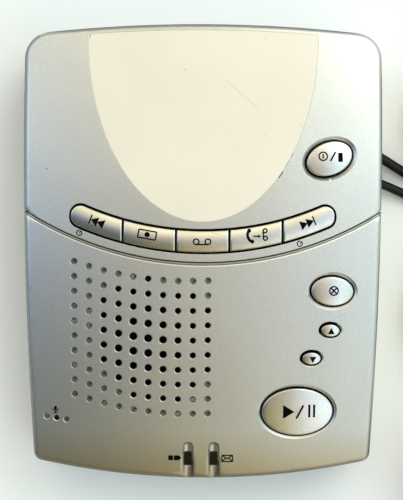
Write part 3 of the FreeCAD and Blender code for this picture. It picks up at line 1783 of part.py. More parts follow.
# ================================================================ everything
def main():
    """Build and write every node."""
    os.makedirs("parts", exist_ok=True)
    save("top_cover", make_top_cover())
    save("name_panel", make_name_panel())
    save("base", make_base())
    save("battery_lid", make_battery_lid())
    save("case_screws", make_case_screws())
    save("feet", make_feet())
    row_keys = make_row_keys()
    for name, key in zip(row_names, row_keys):
        save(name, key)
    for name in oval_keys:
        save(name, make_oval_key(name))
    for name, (x, y) in key_places().items():
        save(name.replace("key_", "dome_"), make_dome(x, y))
    save("keypad_mat", make_keypad_mat())
    save("key_board", make_key_board())
    save("main_board", make_main_board())
    save("inner_screws", make_inner_screws())
    save("chips", make_chips())
    save("capacitors", make_capacitors())
    save("line_transformer", make_line_transformer())
    save("line_relay", make_line_relay())
    save("board_ribbon", make_board_ribbon())
    save("line_jack", make_line_jack())
    save("power_jack", make_power_jack())
    save("lamps", make_lamps())
    save("windows", make_windows())
    save("speaker_frame", make_speaker_frame())
    save("speaker_magnet", make_speaker_magnet())
    save("speaker_cone", make_speaker_cone())
    save("speaker_gasket", make_speaker_gasket())
    save("microphone", make_microphone())
    save("microphone_boot", make_microphone_boot())
    save("backup_battery", make_backup_battery())
    save("battery_clip", make_battery_clip())
    near_x = bay_left - jack_face_setback - line_plug_inserted + line_plug_stop_gap
    near_nose = Vector(near_x, line_jack_y, plug_axis_z)
    save("line_plug_near", line_plug_at(near_nose, 0.0))
    save("line_cord", cord_tube("line_cord", line_route, line_cord_diameter))
    save("line_coil", make_coil(line_coil_x, line_coil_y, line_coil_radius, line_cord_diameter))
    save("line_tail", cord_tube("line_tail", line_tail_route, line_cord_diameter))
    far_heading = Vector(*line_tail_route[-1]) - Vector(*line_tail_route[-2])
    far_turn = math.degrees(math.atan2(-far_heading.y, -far_heading.x))
    flat = Vector(far_heading.x, far_heading.y, 0).normalize()
    far_nose = Vector(*line_tail_route[-1]) + flat * (line_plug_length + 0.9)
    save("line_plug_far", line_plug_at(far_nose, far_turn))
    save("power_plug_near", make_power_plug())
    save("power_cord", cord_tube("power_cord", power_route, power_cord_diameter))
    save("power_coil", make_coil(power_coil_x, power_coil_y, power_coil_radius, power_cord_diameter))
    save("power_tail", cord_tube("power_tail", power_tail_route, power_cord_diameter))
    save("power_supply", make_power_supply())
    save("supply_pins", make_supply_pins())
    save("cord_ties", make_cord_ties())


main()
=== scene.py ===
import logging
import math
from dataclasses import dataclass
from enum import Enum
from functools import cache, reduce
from typing import Callable

import bmesh
import bpy
import numpy as np
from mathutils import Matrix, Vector


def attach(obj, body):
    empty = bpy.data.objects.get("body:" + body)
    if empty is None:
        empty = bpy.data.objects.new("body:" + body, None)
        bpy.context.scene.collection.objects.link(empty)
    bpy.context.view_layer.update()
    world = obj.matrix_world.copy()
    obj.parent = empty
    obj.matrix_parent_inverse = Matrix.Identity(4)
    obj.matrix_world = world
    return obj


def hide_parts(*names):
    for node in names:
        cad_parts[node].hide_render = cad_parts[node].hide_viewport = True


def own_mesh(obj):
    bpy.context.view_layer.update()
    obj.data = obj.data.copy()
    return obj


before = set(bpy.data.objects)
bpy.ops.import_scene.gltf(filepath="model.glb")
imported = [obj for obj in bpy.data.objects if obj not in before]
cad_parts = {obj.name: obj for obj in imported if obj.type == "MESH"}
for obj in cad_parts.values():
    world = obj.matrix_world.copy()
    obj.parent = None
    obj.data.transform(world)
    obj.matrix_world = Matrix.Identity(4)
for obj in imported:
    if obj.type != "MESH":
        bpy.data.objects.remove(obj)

# A small digital answering machine, dressed for looks. Sizes are millimetres in the CAD frame
# (+X right, +Y rear, +Z up), and meshes are written in metres.

log = logging.getLogger("answering_machine")
MM = 0.001
METRE = 1000.0
FULL_TURN = 2 * math.pi
Height = Callable[[np.ndarray, np.ndarray], np.ndarray]
Triple = tuple[float, float, float]
Mesh = bpy.types.Mesh
Node = bpy.types.Node
Socket = bpy.types.NodeSocket


# ---------------------------------------------------------------- meshes and pieces
def quads(grid: np.ndarray) -> np.ndarray:
    """Faces between the neighbours in a grid of corner numbers."""
    return np.stack([grid[:-1, :-1], grid[1:, :-1], grid[1:, 1:], grid[:-1, 1:]], -1).reshape(-1, 4)


def built(name: str, points: np.ndarray, faces: np.ndarray) -> Mesh:
    """Make a mesh from corners in mm and faces of corner numbers."""
    mesh = bpy.data.meshes.new(name)
    mesh.from_pydata(points * MM, [], faces.tolist())
    return mesh


def read(
    items: "bpy.types.bpy_prop_collection", name: str, width: int = 3, kind: type = float
) -> np.ndarray:
    """Read one property of all elements of a mesh.

    Args:
        items: its vertices, corners or polygons.
        name: the property.
        width: how many numbers each element has.
        kind: type of number.

    Returns:
        One row for each element.
    """
    values = np.empty(len(items) * width, kind)
    items.foreach_get(name, values)
    return values.reshape(-1, width)


def welded(mesh: Mesh, within: float, sliver: float = 0.0) -> Mesh:
    """Join the corners of a mesh that lie close together.

    Args:
        mesh: changed in place.
        within: greatest distance between such corners, metres.
        sliver: where given, shorter edges go too, and the faces are turned outward.

    Returns:
        The same mesh.
    """
    form = bmesh.new()
    form.from_mesh(mesh)
    bmesh.ops.remove_doubles(form, verts=form.verts, dist=within)
    if sliver:
        bmesh.ops.dissolve_degenerate(form, edges=form.edges, dist=sliver)
        bmesh.ops.recalc_face_normals(form, faces=form.faces)
    form.to_mesh(mesh)
    form.free()
    return mesh


def slab_mesh(
    name: str, patches: list["Patch"], height: Height, proud: float, sunk: float
) -> Mesh:
    """Make thin closed slabs that lie on a curved surface.

    Each patch is a grid of plan points; its top is the surface's height plus proud, its underside
    the height less sunk, and walls join the two along the grid's open edges.

    Args:
        name: mesh name.
        patches: plan grids.
        height: height of the surface over x and y.
        proud: how far the top stands over the surface.
        sunk: how far the underside lies below it.

    Returns:
        One mesh with its faces outward.
    """
    points: list[np.ndarray] = []
    faces: list[np.ndarray] = []
    total = 0
    for patch in patches:
        level = height(patch.x, patch.y)
        for shift in (proud, -sunk):
            points.append(np.stack([patch.x, patch.y, level + shift], -1).reshape(-1, 3))
        count = patch.x.size
        grid = np.arange(count).reshape(patch.x.shape) + total
        top = quads(grid)
        edges = [grid[:, 0], grid[::-1, -1]]
        if not patch.closed:
            edges += [grid[0, ::-1], grid[-1, :]]
        walls = [np.stack([e[:-1], e[1:], e[1:] + count, e[:-1] + count], -1) for e in edges]
        faces += [top, top[:, ::-1] + count] + walls
        total += 2 * count
    return welded(built(name, np.concatenate(points), np.concatenate(faces)), 2e-6, 1e-6)


def smooth_shaded(mesh: Mesh, sharp_degrees: float) -> Mesh:
    """Shade a mesh smooth, save for edges that turn by more than sharp_degrees."""
    mesh.polygons.foreach_set("use_smooth", np.ones(len(mesh.polygons), bool))
    mesh.set_sharp_from_angle(angle=math.radians(sharp_degrees))
    return mesh


def merged_copy(node: str) -> Mesh:
    """Copy a CAD node's triangles, joined at their corners."""
    return welded(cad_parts[node].data.copy(), 1e-6)


def placed(name: str, data: bpy.types.ID) -> bpy.types.Object:
    """Put a new object with that data in the scene, at the origin."""
    piece = bpy.data.objects.new(name, data)
    bpy.context.scene.collection.objects.link(piece)
    return piece


def carved(mesh: Mesh, cutter: Mesh) -> Mesh:
    """Return a new mesh: the first closed mesh without what the second takes away."""
    body, tool = placed("carving_body", mesh), placed("carving_tool", cutter)
    carving = body.modifiers.new("carve", "BOOLEAN")
    carving.operation = "DIFFERENCE"
    carving.solver = "EXACT"
    carving.object = tool
    bpy.context.view_layer.update()
    result = bpy.data.meshes.new_from_object(
        body.evaluated_get(bpy.context.evaluated_depsgraph_get())
    )
    for piece in (body, tool):
        bpy.data.objects.remove(piece)
    return result


def add_piece(
    name: str,
    form: Mesh | bpy.types.Curve,
    finish: str,
    body: str,
    slot: str = "",
    stands_for: tuple[str, ...] = (),
) -> bpy.types.Object:
    """Args:
        name: piece name.
        form: its mesh or curve, in metres.
        finish: name of its finish.
        body: the body it rides on.
        slot: its slot, where that isn't the finish's name; not used.
        stands_for: CAD nodes that it replaces.

    Returns:
        The new object.
    """
    form.materials.clear()
    form.materials.append(material(finish))
    piece = placed(name, form)
    if stands_for:
        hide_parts(*stands_for)
    slot or finish
    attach(piece, body)
    log.info("%s rides on %s", name, body)
    return piece


# ---------------------------------------------------------------- the face
@dataclass(frozen=True)
class Face:
    """The domed face of the casing: a cap of a large ball."""

    radius: float = 430.0
    top: float = 37.0
    middle_y: float = 10.0
    tolerance: float = 0.02
    least_cosine: float = 0.995

    @property
    def centre(self) -> np.ndarray:
        """Centre of the ball."""
        return np.array([0.0, self.middle_y, self.top - self.radius])

    def height(self, x: np.ndarray, y: np.ndarray) -> np.ndarray:
        """Height over x and y: the centre's height plus the root of what is left of the radius."""
        rest = self.radius**2 - np.square(x) - np.square(np.asarray(y) - self.middle_y)
        return self.top - self.radius + np.sqrt(rest)

    def normal(self, x: float, y: float) -> np.ndarray:
        """Unit normal at one point."""
        up = math.sqrt(self.radius**2 - x**2 - (y - self.middle_y) ** 2)
        return np.array([x, y - self.middle_y, up]) / self.radius

    def true_normals(self, mesh: Mesh) -> None:
        """Set the exact ball normal at the corners on the face, so that no facet shows.

        A corner is on the face if it lies within the tolerance of the ball, and its triangle
        faces away from the ball's centre.
        """
        corners = read(mesh.loops, "vertex_index", 1, int)[:, 0]
        normals = read(mesh.corner_normals, "vector")
        spread = read(mesh.vertices, "co")[corners] / MM - self.centre
        reach = np.linalg.norm(spread, axis=1, keepdims=True)
        radial = spread / reach
        sizes = read(mesh.polygons, "loop_total", 1, int)[:, 0]
        flat = np.repeat(read(mesh.polygons, "normal"), sizes, axis=0)
        on_ball = np.abs(reach[:, 0] - self.radius) < self.tolerance
        on_ball &= (flat * radial).sum(1) > self.least_cosine
        normals[on_ball] = radial[on_ball]
        mesh.normals_split_custom_set(normals.tolist())


FACE = Face()


# ---------------------------------------------------------------- node trees
def linear(code: str) -> tuple[float, float, float, float]:
    """Turn six hex digits of sRGB into a linear colour with alpha 1."""
    parts = [int(code[start : start + 2], 16) / 255 for start in (0, 2, 4)]
    curve = [c / 12.92 if c <= 0.04045 else ((c + 0.055) / 1.055) ** 2.4 for c in parts]
    return curve[0], curve[1], curve[2], 1.0


class Graph:
    """A node tree being laid out; most methods add a node and return what it puts out."""

    def __init__(self, tree: bpy.types.NodeTree, coordinates: str) -> None:
        """Empty the tree and add the coordinates that its patterns read.

        Args:
            tree: node tree of a material or a world.
            coordinates: Blender's name of the coordinates.
        """
        tree.nodes.clear()
        self.tree = tree
        self.place = self.add("TexCoord").outputs[coordinates]

    def add(self, kind: str, links: dict | None = None, **settings) -> Node:
        """Add a node with its settings, socket values and links.

        Args:
            kind: Blender's name of the node's type, less its first word.
            links: input name or number to a value, or to the output socket that feeds it.
            settings: properties of the node itself.

        Returns:
            The new node.
        """
        node = self.tree.nodes.new("ShaderNode" + kind)
        for key, value in settings.items():
            setattr(node, key, value)
        for key, value in (links or {}).items():
            if isinstance(value, Socket):
                self.tree.links.new(value, node.inputs[key])
            else:
                node.inputs[key].default_value = value
        return node

    def scalar(self, operation: str, *values: Socket | float) -> Socket:
        """Reckon with numbers."""
        return self.add("Math", dict(enumerate(values)), operation=operation).outputs[0]

    def vector(self, operation: str, *values: Socket | tuple) -> Socket:
        """Reckon with vectors; a distance or a dot product comes out as a number."""
        node = self.add("VectorMath", dict(enumerate(values)), operation=operation)
        return node.outputs[int(operation in ("DISTANCE", "DOT_PRODUCT"))]

    def product(self, *values: Socket | float) -> Socket:
        """Multiply numbers, from left to right."""
        return reduce(lambda first, second: self.scalar("MULTIPLY", first, second), values)

    def ramp(
        self,
        value: Socket,
        start: float = 0.0,
        end: float = 1.0,
        low: float = 0.0,
        high: float = 1.0,
        **settings,
    ) -> Socket:
        """Map a number from start to end onto low to high; beyond them it stays at low or high."""
        links = {0: value, 1: start, 2: end, 3: low, 4: high}
        return self.add("MapRange", links, **settings).outputs[0]

    def part(self, vector: Socket, axis: int) -> Socket:
        """One coordinate of a vector."""
        return self.add("SeparateXYZ", {0: vector}).outputs[axis]

    def normal(self, kind: str = "Normal") -> Socket:
        """The surface's normal: smooth, or the triangle's own as the True Normal."""
        return self.add("NewGeometry").outputs[kind]

    def noise(self, size_mm: float, detail: float = 2.0) -> Socket:
        """Noise from 0 to 1 of that size."""
        links = {"Vector": self.place, "Scale": METRE / size_mm, "Detail": detail}
        return self.add("TexNoise", links).outputs[0]

    def cells(self, size_mm: float) -> tuple[Socket, Socket]:
        """Distance from the middle of the nearest cell, and that cell's random number."""
        cells = self.add("TexVoronoi", {"Vector": self.place, "Scale": METRE / size_mm})
        pick = self.add("SeparateColor", {0: cells.outputs["Color"]}).outputs[0]
        return cells.outputs["Distance"], pick

    def mix(self, amount: Socket, first: Socket | tuple, second: Socket | tuple) -> Socket:
        """Mix two colours; the amount is the second one's share."""
        return self.add("Mix", {0: amount, 6: first, 7: second}, data_type="RGBA").outputs[2]

    def blend(self, tone: Socket, amount: Socket, code: str) -> Socket:
        """Mix a colour by an amount towards a hex tone."""
        return self.mix(amount, tone, linear(code))

    def feed(self, source: Socket, node: Node, name: str) -> None:
        """Link an output to an input of a node that is already there."""
        self.tree.links.new(source, node.inputs[name])


# ---------------------------------------------------------------- finishes
@dataclass(frozen=True)
class Finish:
    """A moulded, painted or metal surface: two tones that drift, a grain and a gloss."""

    name: str
    light: str
    deep: str
    metallic: float = 0.0
    roughness: float = 0.5
    rough_swing: float = 0.08
    ior: float = 1.46
    coat: float = 0.0
    coat_roughness: float = 0.12
    drift_mm: float = 25.0
    drift_detail: float = 4.0
    drift_from: float = 0.35
    drift_to: float = 0.65
    grain_mm: float = 0.4
    grain_depth_mm: float = 0.01
    transmission: float = 0.0

    def material(self) -> bpy.types.Material:
        """Build the material.

        Returns:
            The material, whose patterns read Object coordinates in metres.
        """
        made = bpy.data.materials.new(self.name)
        made.use_nodes = True
        graph = Graph(made.node_tree, "Object")
        drift = graph.noise(self.drift_mm, self.drift_detail)
        spread = graph.ramp(drift, self.drift_from, self.drift_to)
        tone = graph.mix(spread, linear(self.light), linear(self.deep))
        smooth, dull = self.roughness - self.rough_swing, self.roughness + self.rough_swing
        depth = self.grain_depth_mm * MM
        grain = graph.noise(self.grain_mm)
        bump = graph.add("Bump", {"Height": grain, "Distance": depth, "Strength": 1.0})
        self.round_edges(graph, bump)
        settings = {
            "Metallic": self.metallic,
            "IOR": self.ior,
            "Coat Weight": self.coat,
            "Coat Roughness": self.coat_roughness,
            "Transmission Weight": self.transmission,
            "Roughness": graph.ramp(drift, low=smooth, high=dull),
            "Normal": bump.outputs[0],
        }
        shader = graph.add("BsdfPrincipled", settings)
        graph.feed(self.detail(graph, tone, shader), shader, "Base Color")
        graph.add("OutputMaterial", {"Surface": shader.outputs[0]})
        return made

    def round_edges(self, graph: Graph, bump: Node) -> None:
        """Round the edges in shading; a plain finish leaves them as they are."""

    def detail(self, graph: Graph, tone: Socket, shader: Node) -> Socket:
        """Add what sets a finish apart; a plain finish adds nothing.

        Args:
            graph: the material's node tree.
            tone: the colour so far.
            shader: the surface shader.

        Returns:
            The colour to use.
        """
        return tone


@dataclass(frozen=True)
class Scratch:
    """A fine line in plan, cut up by noise; fill is the share of it that shows."""

    start: tuple[float, float]
    end: tuple[float, float]
    width: float
    breaks_mm: float
    fill: float
    strength: float
    tone: str

    def drawn(self, graph: Graph, tone: Socket) -> Socket:
        """Draw the line over a colour."""
        run = np.array(self.end) - np.array(self.start)
        length = float(np.hypot(*run))
        along = run / length
        half = length / 2 * MM
        first = (self.start[0] * MM, self.start[1] * MM, 0.0)
        offset = graph.vector("SUBTRACT", graph.place, first)
        side = graph.vector("DOT_PRODUCT", offset, (-along[1], along[0], 0.0))
        travel = graph.vector("DOT_PRODUCT", offset, (*along, 0.0))
        near = graph.scalar("COMPARE", side, 0.0, self.width / 2 * MM)
        within = graph.scalar("COMPARE", travel, half, half)
        # noise lies mostly within 0.2 of its middle
        hidden = 0.5 + (0.5 - self.fill) * 0.4
        shown = graph.scalar("GREATER_THAN", graph.noise(self.breaks_mm), hidden)
        return graph.blend(tone, graph.product(near, within, shown, self.strength), self.tone)


@dataclass(frozen=True)
class ArcLine:
    """A circular line in plan about a point on the middle line."""

    radius: float
    width: float
    tone: str
    centre_y: float = 108.9

    def drawn(self, graph: Graph, tone: Socket) -> Socket:
        """Draw the line over a colour."""
        flat = graph.vector("MULTIPLY", graph.place, (1.0, 1.0, 0.0))
        reach = graph.vector("DISTANCE", flat, (0.0, self.centre_y * MM, 0.0))
        line = graph.scalar("COMPARE", reach, self.radius * MM, self.width / 2 * MM)
        return graph.blend(tone, line, self.tone)


@dataclass(frozen=True)
class Worn(Finish):
    """A surface in use: specks of dust in a few cells of a pattern, and marks drawn over them:
    scratches, and on the face also the painted shade and painted highlight of its groove.
    """

    dust_mm: float = 2.4
    dust_share: float = 0.018
    dust_strength: float = 0.3
    dust: str = "6f6c60"
    speck_core: float = 0.08
    speck_edge: float = 0.16
    marks: tuple[Scratch | ArcLine, ...] = ()

    def detail(self, graph: Graph, tone: Socket, shader: Node) -> Socket:
        """Dust first, then the marks in their order."""
        distance, pick = graph.cells(self.dust_mm)
        chosen = graph.scalar("GREATER_THAN", pick, 1 - self.dust_share)
        core = graph.ramp(distance, self.speck_core, self.speck_edge, 1.0, 0.0)
        tone = graph.blend(tone, graph.product(core, chosen, self.dust_strength), self.dust)
        for mark in self.marks:
            tone = mark.drawn(graph, tone)
        return tone


@dataclass(frozen=True)
class SilverPaint(Worn):
    """Silver lacquer on moulded ABS: aluminium flakes give a satin metal gloss.

    openings and outer_sides have a row for each of x and y: the middle and half width of the field
    that holds the openings, and the middle and the distances at which the outer sides begin and
    are complete.
    """

    flake_mm: float = 0.35
    flake_swing: float = 0.05
    # painted shade: surfaces a little below the face, such as the floors of blind holes, are
    # darkened towards the tone below
    recess_shade_depth_mm: float = 0.6
    recess_shade: str = "a3a297"
    # the inside deeper than this is unpainted plastic, made near black as painted shade, as are
    # steep walls at the openings' edges
    unpainted_shade_depth_mm: float = 1.35
    bare: str = "151514"
    steep: float = 0.4
    steep_depth_mm: float = 0.25
    fade_mm: float = 0.15
    openings: tuple[tuple[float, float], ...] = ((0.0, 56.0), (5.0, 68.0))
    outer_sides: tuple[Triple, ...] = ((0.0, 55.5, 57.5), (4.0, 72.5, 74.5))
    edge_mm: float = 0.2
    side_edge_mm: float = 1.5
    edge_samples: int = 6
    # painted reflection: a warm brown tint that grows towards the front edge
    front_reflection_tint: str = ""
    front_reflection_share: float = 0.6
    front_reflection_from: float = -60.0
    front_reflection_to: float = -76.0
    # painted shade: a dark grey over the steep left, front and rear outer walls
    painted_side_shade: str = ""
    painted_side_shade_share: float = 0.88
    upright: tuple[float, float] = (0.5, 0.93)
    turned_right: tuple[float, float] = (0.1, 0.4)
    left_wall: float = -56.0
    left_share: float = 0.75
    end_walls: tuple[float, float] = (2.0, 73.0)

    def round_edges(self, graph: Graph, bump: Node) -> None:
        """Lacquer builds up over the edges: little at the openings, more at the outer sides."""
        if not self.edge_mm:
            return
        shares = []
        for axis, (middle, start, end) in enumerate(self.outer_sides):
            off = graph.scalar("SUBTRACT", graph.part(graph.place, axis), middle * MM)
            shares.append(graph.ramp(graph.scalar("ABSOLUTE", off), start * MM, end * MM))
        outer = graph.scalar("MAXIMUM", *shares)
        radius = graph.ramp(outer, low=self.edge_mm * MM, high=self.side_edge_mm * MM)
        bevel = graph.add("Bevel", {"Radius": radius}, samples=self.edge_samples)
        graph.feed(bevel.outputs[0], bump, "Normal")

    def detail(self, graph: Graph, tone: Socket, shader: Node) -> Socket:
        """Flakes of uneven brightness under the wear; then a painted warm reflection at the front,
        painted shade on the outer walls and in shallow recesses, and the unpainted inside, near
        black as painted shade in the gaps.
        """
        level = graph.ramp(
            graph.cells(self.flake_mm)[1], low=1 - self.flake_swing, high=1 + self.flake_swing
        )
        tone = graph.add("VectorMath", {0: tone, "Scale": level}, operation="SCALE").outputs[0]
        tone = super().detail(graph, tone, shader)
        # painted reflection: the front of the face is tinted warm brown for the warm, dim front of
        # the room that it reflects
        if self.front_reflection_tint:
            along = graph.part(graph.place, 1)
            front_reflection = graph.ramp(along, self.front_reflection_from * MM, self.front_reflection_to * MM, high=self.front_reflection_share)
            tone = graph.blend(tone, front_reflection, self.front_reflection_tint)
        # painted shade on the steep outer walls, all but the right one
        if self.painted_side_shade:
            tone = self.paint_side_shade(graph, tone)
        # painted shade: shallow recesses under the face are darkened
        tone = graph.blend(tone, self.below_face(graph, self.recess_shade_depth_mm), self.recess_shade)
        # painted shade: steep walls at the edges of the openings go near black, so the gaps round
        # the keys read dark
        rise = graph.scalar("ABSOLUTE", graph.part(graph.normal("True Normal"), 2))
        wall = graph.scalar("LESS_THAN", rise, self.steep)
        wall = graph.product(wall, self.below_face(graph, self.steep_depth_mm))
        bare = graph.scalar("MAXIMUM", self.below_face(graph, self.unpainted_shade_depth_mm), wall)
        graph.feed(graph.ramp(bare, low=self.metallic, high=0.0), shader, "Metallic")
        return graph.blend(tone, bare, self.bare)

    def below_face(self, graph: Graph, depth_mm: float) -> Socket:
        """Mask of what lies deeper than that under the domed face, in the field of the openings."""
        reach = graph.vector("DISTANCE", graph.place, tuple(FACE.centre * MM))
        edge = (FACE.radius - depth_mm) * MM
        deep = graph.ramp(reach, edge - self.fade_mm * MM, edge, 1.0, 0.0)
        inside = [
            graph.scalar("COMPARE", graph.part(graph.place, axis), middle * MM, half * MM)
            for axis, (middle, half) in enumerate(self.openings)
        ]
        return graph.product(deep, *inside)

    def paint_side_shade(self, graph: Graph, tone: Socket) -> Socket:
        """Grey the left, front and rear walls with painted shade, for the shaded table that they
        reflect; the right wall keeps its tone.
        """
        facing = graph.normal()
        steepness = graph.ramp(graph.part(facing, 2), *self.upright, self.painted_side_shade_share, 0.0)
        not_right = graph.ramp(graph.part(facing, 0), *self.turned_right, 1.0, 0.0)
        left = graph.scalar("LESS_THAN", graph.part(graph.place, 0), self.left_wall * MM)
        middle, half = self.end_walls
        inner = graph.scalar("COMPARE", graph.part(graph.place, 1), middle * MM, half * MM)
        ends = graph.scalar("SUBTRACT", 1.0, inner)
        outer = graph.scalar("MAXIMUM", graph.product(left, self.left_share), ends)
        return graph.blend(tone, graph.product(steepness, outer, not_right), self.painted_side_shade)


@dataclass(frozen=True)
class BoardLaminate(Finish):
    """Glass-fibre board under green solder resist: copper tracks show as paler lines."""

    track_mm: float = 2.6
    track: str = "3f8a52"
    scatter: float = 0.6

    def detail(self, graph: Graph, tone: Socket, shader: Node) -> Socket:
        """Tracks are the edges of a cell pattern that is partly scattered."""
        net = graph.add(
            "TexVoronoi",
            {"Vector": graph.place, "Scale": METRE / self.track_mm, "Randomness": self.scatter},
            feature="DISTANCE_TO_EDGE",
        ).outputs["Distance"]
        return graph.blend(tone, graph.ramp(net, 0.03, 0.08, 0.8, 0.0), self.track)


class Axis(Enum):
    """Direction across which stripes alternate."""

    X = (1.0, 0.0, 0.0)
    Y = (0.0, 1.0, 0.0)


@dataclass(frozen=True)
class Striped(Finish):
    """Layers or conductors side by side: pressed laminations, or the cores of a ribbon."""

    stripe: str = "404040"
    pitch_mm: float = 1.0
    axis: Axis = Axis.X

    def detail(self, graph: Graph, tone: Socket, shader: Node) -> Socket:
        """A sine across the axis, sharpened to narrow dark lines."""
        across = graph.vector("DOT_PRODUCT", graph.place, self.axis.value)
        wave = graph.scalar("SINE", graph.product(across, FULL_TURN * METRE / self.pitch_mm))
        return graph.blend(tone, graph.ramp(wave, 0.55, 0.95), self.stripe)


@dataclass(frozen=True)
class TopFaced(Finish):
    """A body whose upward faces are another material: a sleeved can with its bare metal top."""

    top: str = "c6c6c2"

    def detail(self, graph: Graph, tone: Socket, shader: Node) -> Socket:
        """The normal's rise picks the bare top, which is also metallic."""
        bare = graph.ramp(graph.part(graph.normal(), 2), 0.8, 0.9)
        graph.feed(bare, shader, "Metallic")
        return graph.blend(tone, bare, self.top)


@dataclass(frozen=True)
class Banded(Finish):
    """A printed jacket in two plain bands, split at one x."""

    band: str = "b9824a"
    split_mm: float = 0.0

    def detail(self, graph: Graph, tone: Socket, shader: Node) -> Socket:
        """The band begins past the split."""
        past = graph.scalar("GREATER_THAN", graph.part(graph.place, 0), self.split_mm * MM)
        return graph.blend(tone, past, self.band)


FACE_SCRATCHES_AND_GROOVE_SHADE = (
    Scratch((25.4, 25.0), (26.8, 27.2), 0.3, 9.0, 1.0, 0.95, "2c2c29"),
    Scratch((27.5, 28.9), (28.7, 30.6), 0.2, 9.0, 1.0, 0.7, "4a4a46"),
    Scratch((29.5, 32.1), (30.2, 33.3), 0.22, 1.2, 0.7, 0.8, "4a4a46"),
    Scratch((46.0, -21.5), (47.2, -20.4), 0.25, 3.0, 0.9, 0.4, "77756a"),
    Scratch((-52.9, 28.1), (-52.4, 28.1), 0.45, 9.0, 1.0, 0.85, "3a3a36"),
    Scratch((-58.2, -13.4), (-58.0, -11.6), 0.3, 9.0, 1.0, 0.5, "5a5a52"),
    Scratch((11.7, -28.6), (11.7, -27.7), 0.2, 9.0, 1.0, 0.35, "6a685e"),
    # the double groove: painted shade along its two cut lines and a grey band between, and a
    # painted highlight on the edge beside the second
    ArcLine(112.8, 0.6, "a5a598"),
    ArcLine(112.3, 0.42, "3d3d33"),
    ArcLine(113.1, 0.3, "77776b"),
    ArcLine(113.5, 0.4, "efede2"),
)
PANEL_MARKS = (
    Scratch((7.6, 58.0), (18.4, 48.5), 0.16, 3.5, 0.9, 0.5, "a89f86"),
    Scratch((-38.5, 72.9), (-38.5, 74.0), 0.25, 9.0, 1.0, 0.9, "2a2823"),
)
KEY_MARKS = (
    Scratch((2.9, 6.8), (5.4, 6.0), 0.14, 9.0, 1.0, 0.55, "5f5d52"),
    Scratch((37.6, 33.9), (37.9, 34.0), 0.3, 9.0, 1.0, 0.4, "6b6a60"),
)

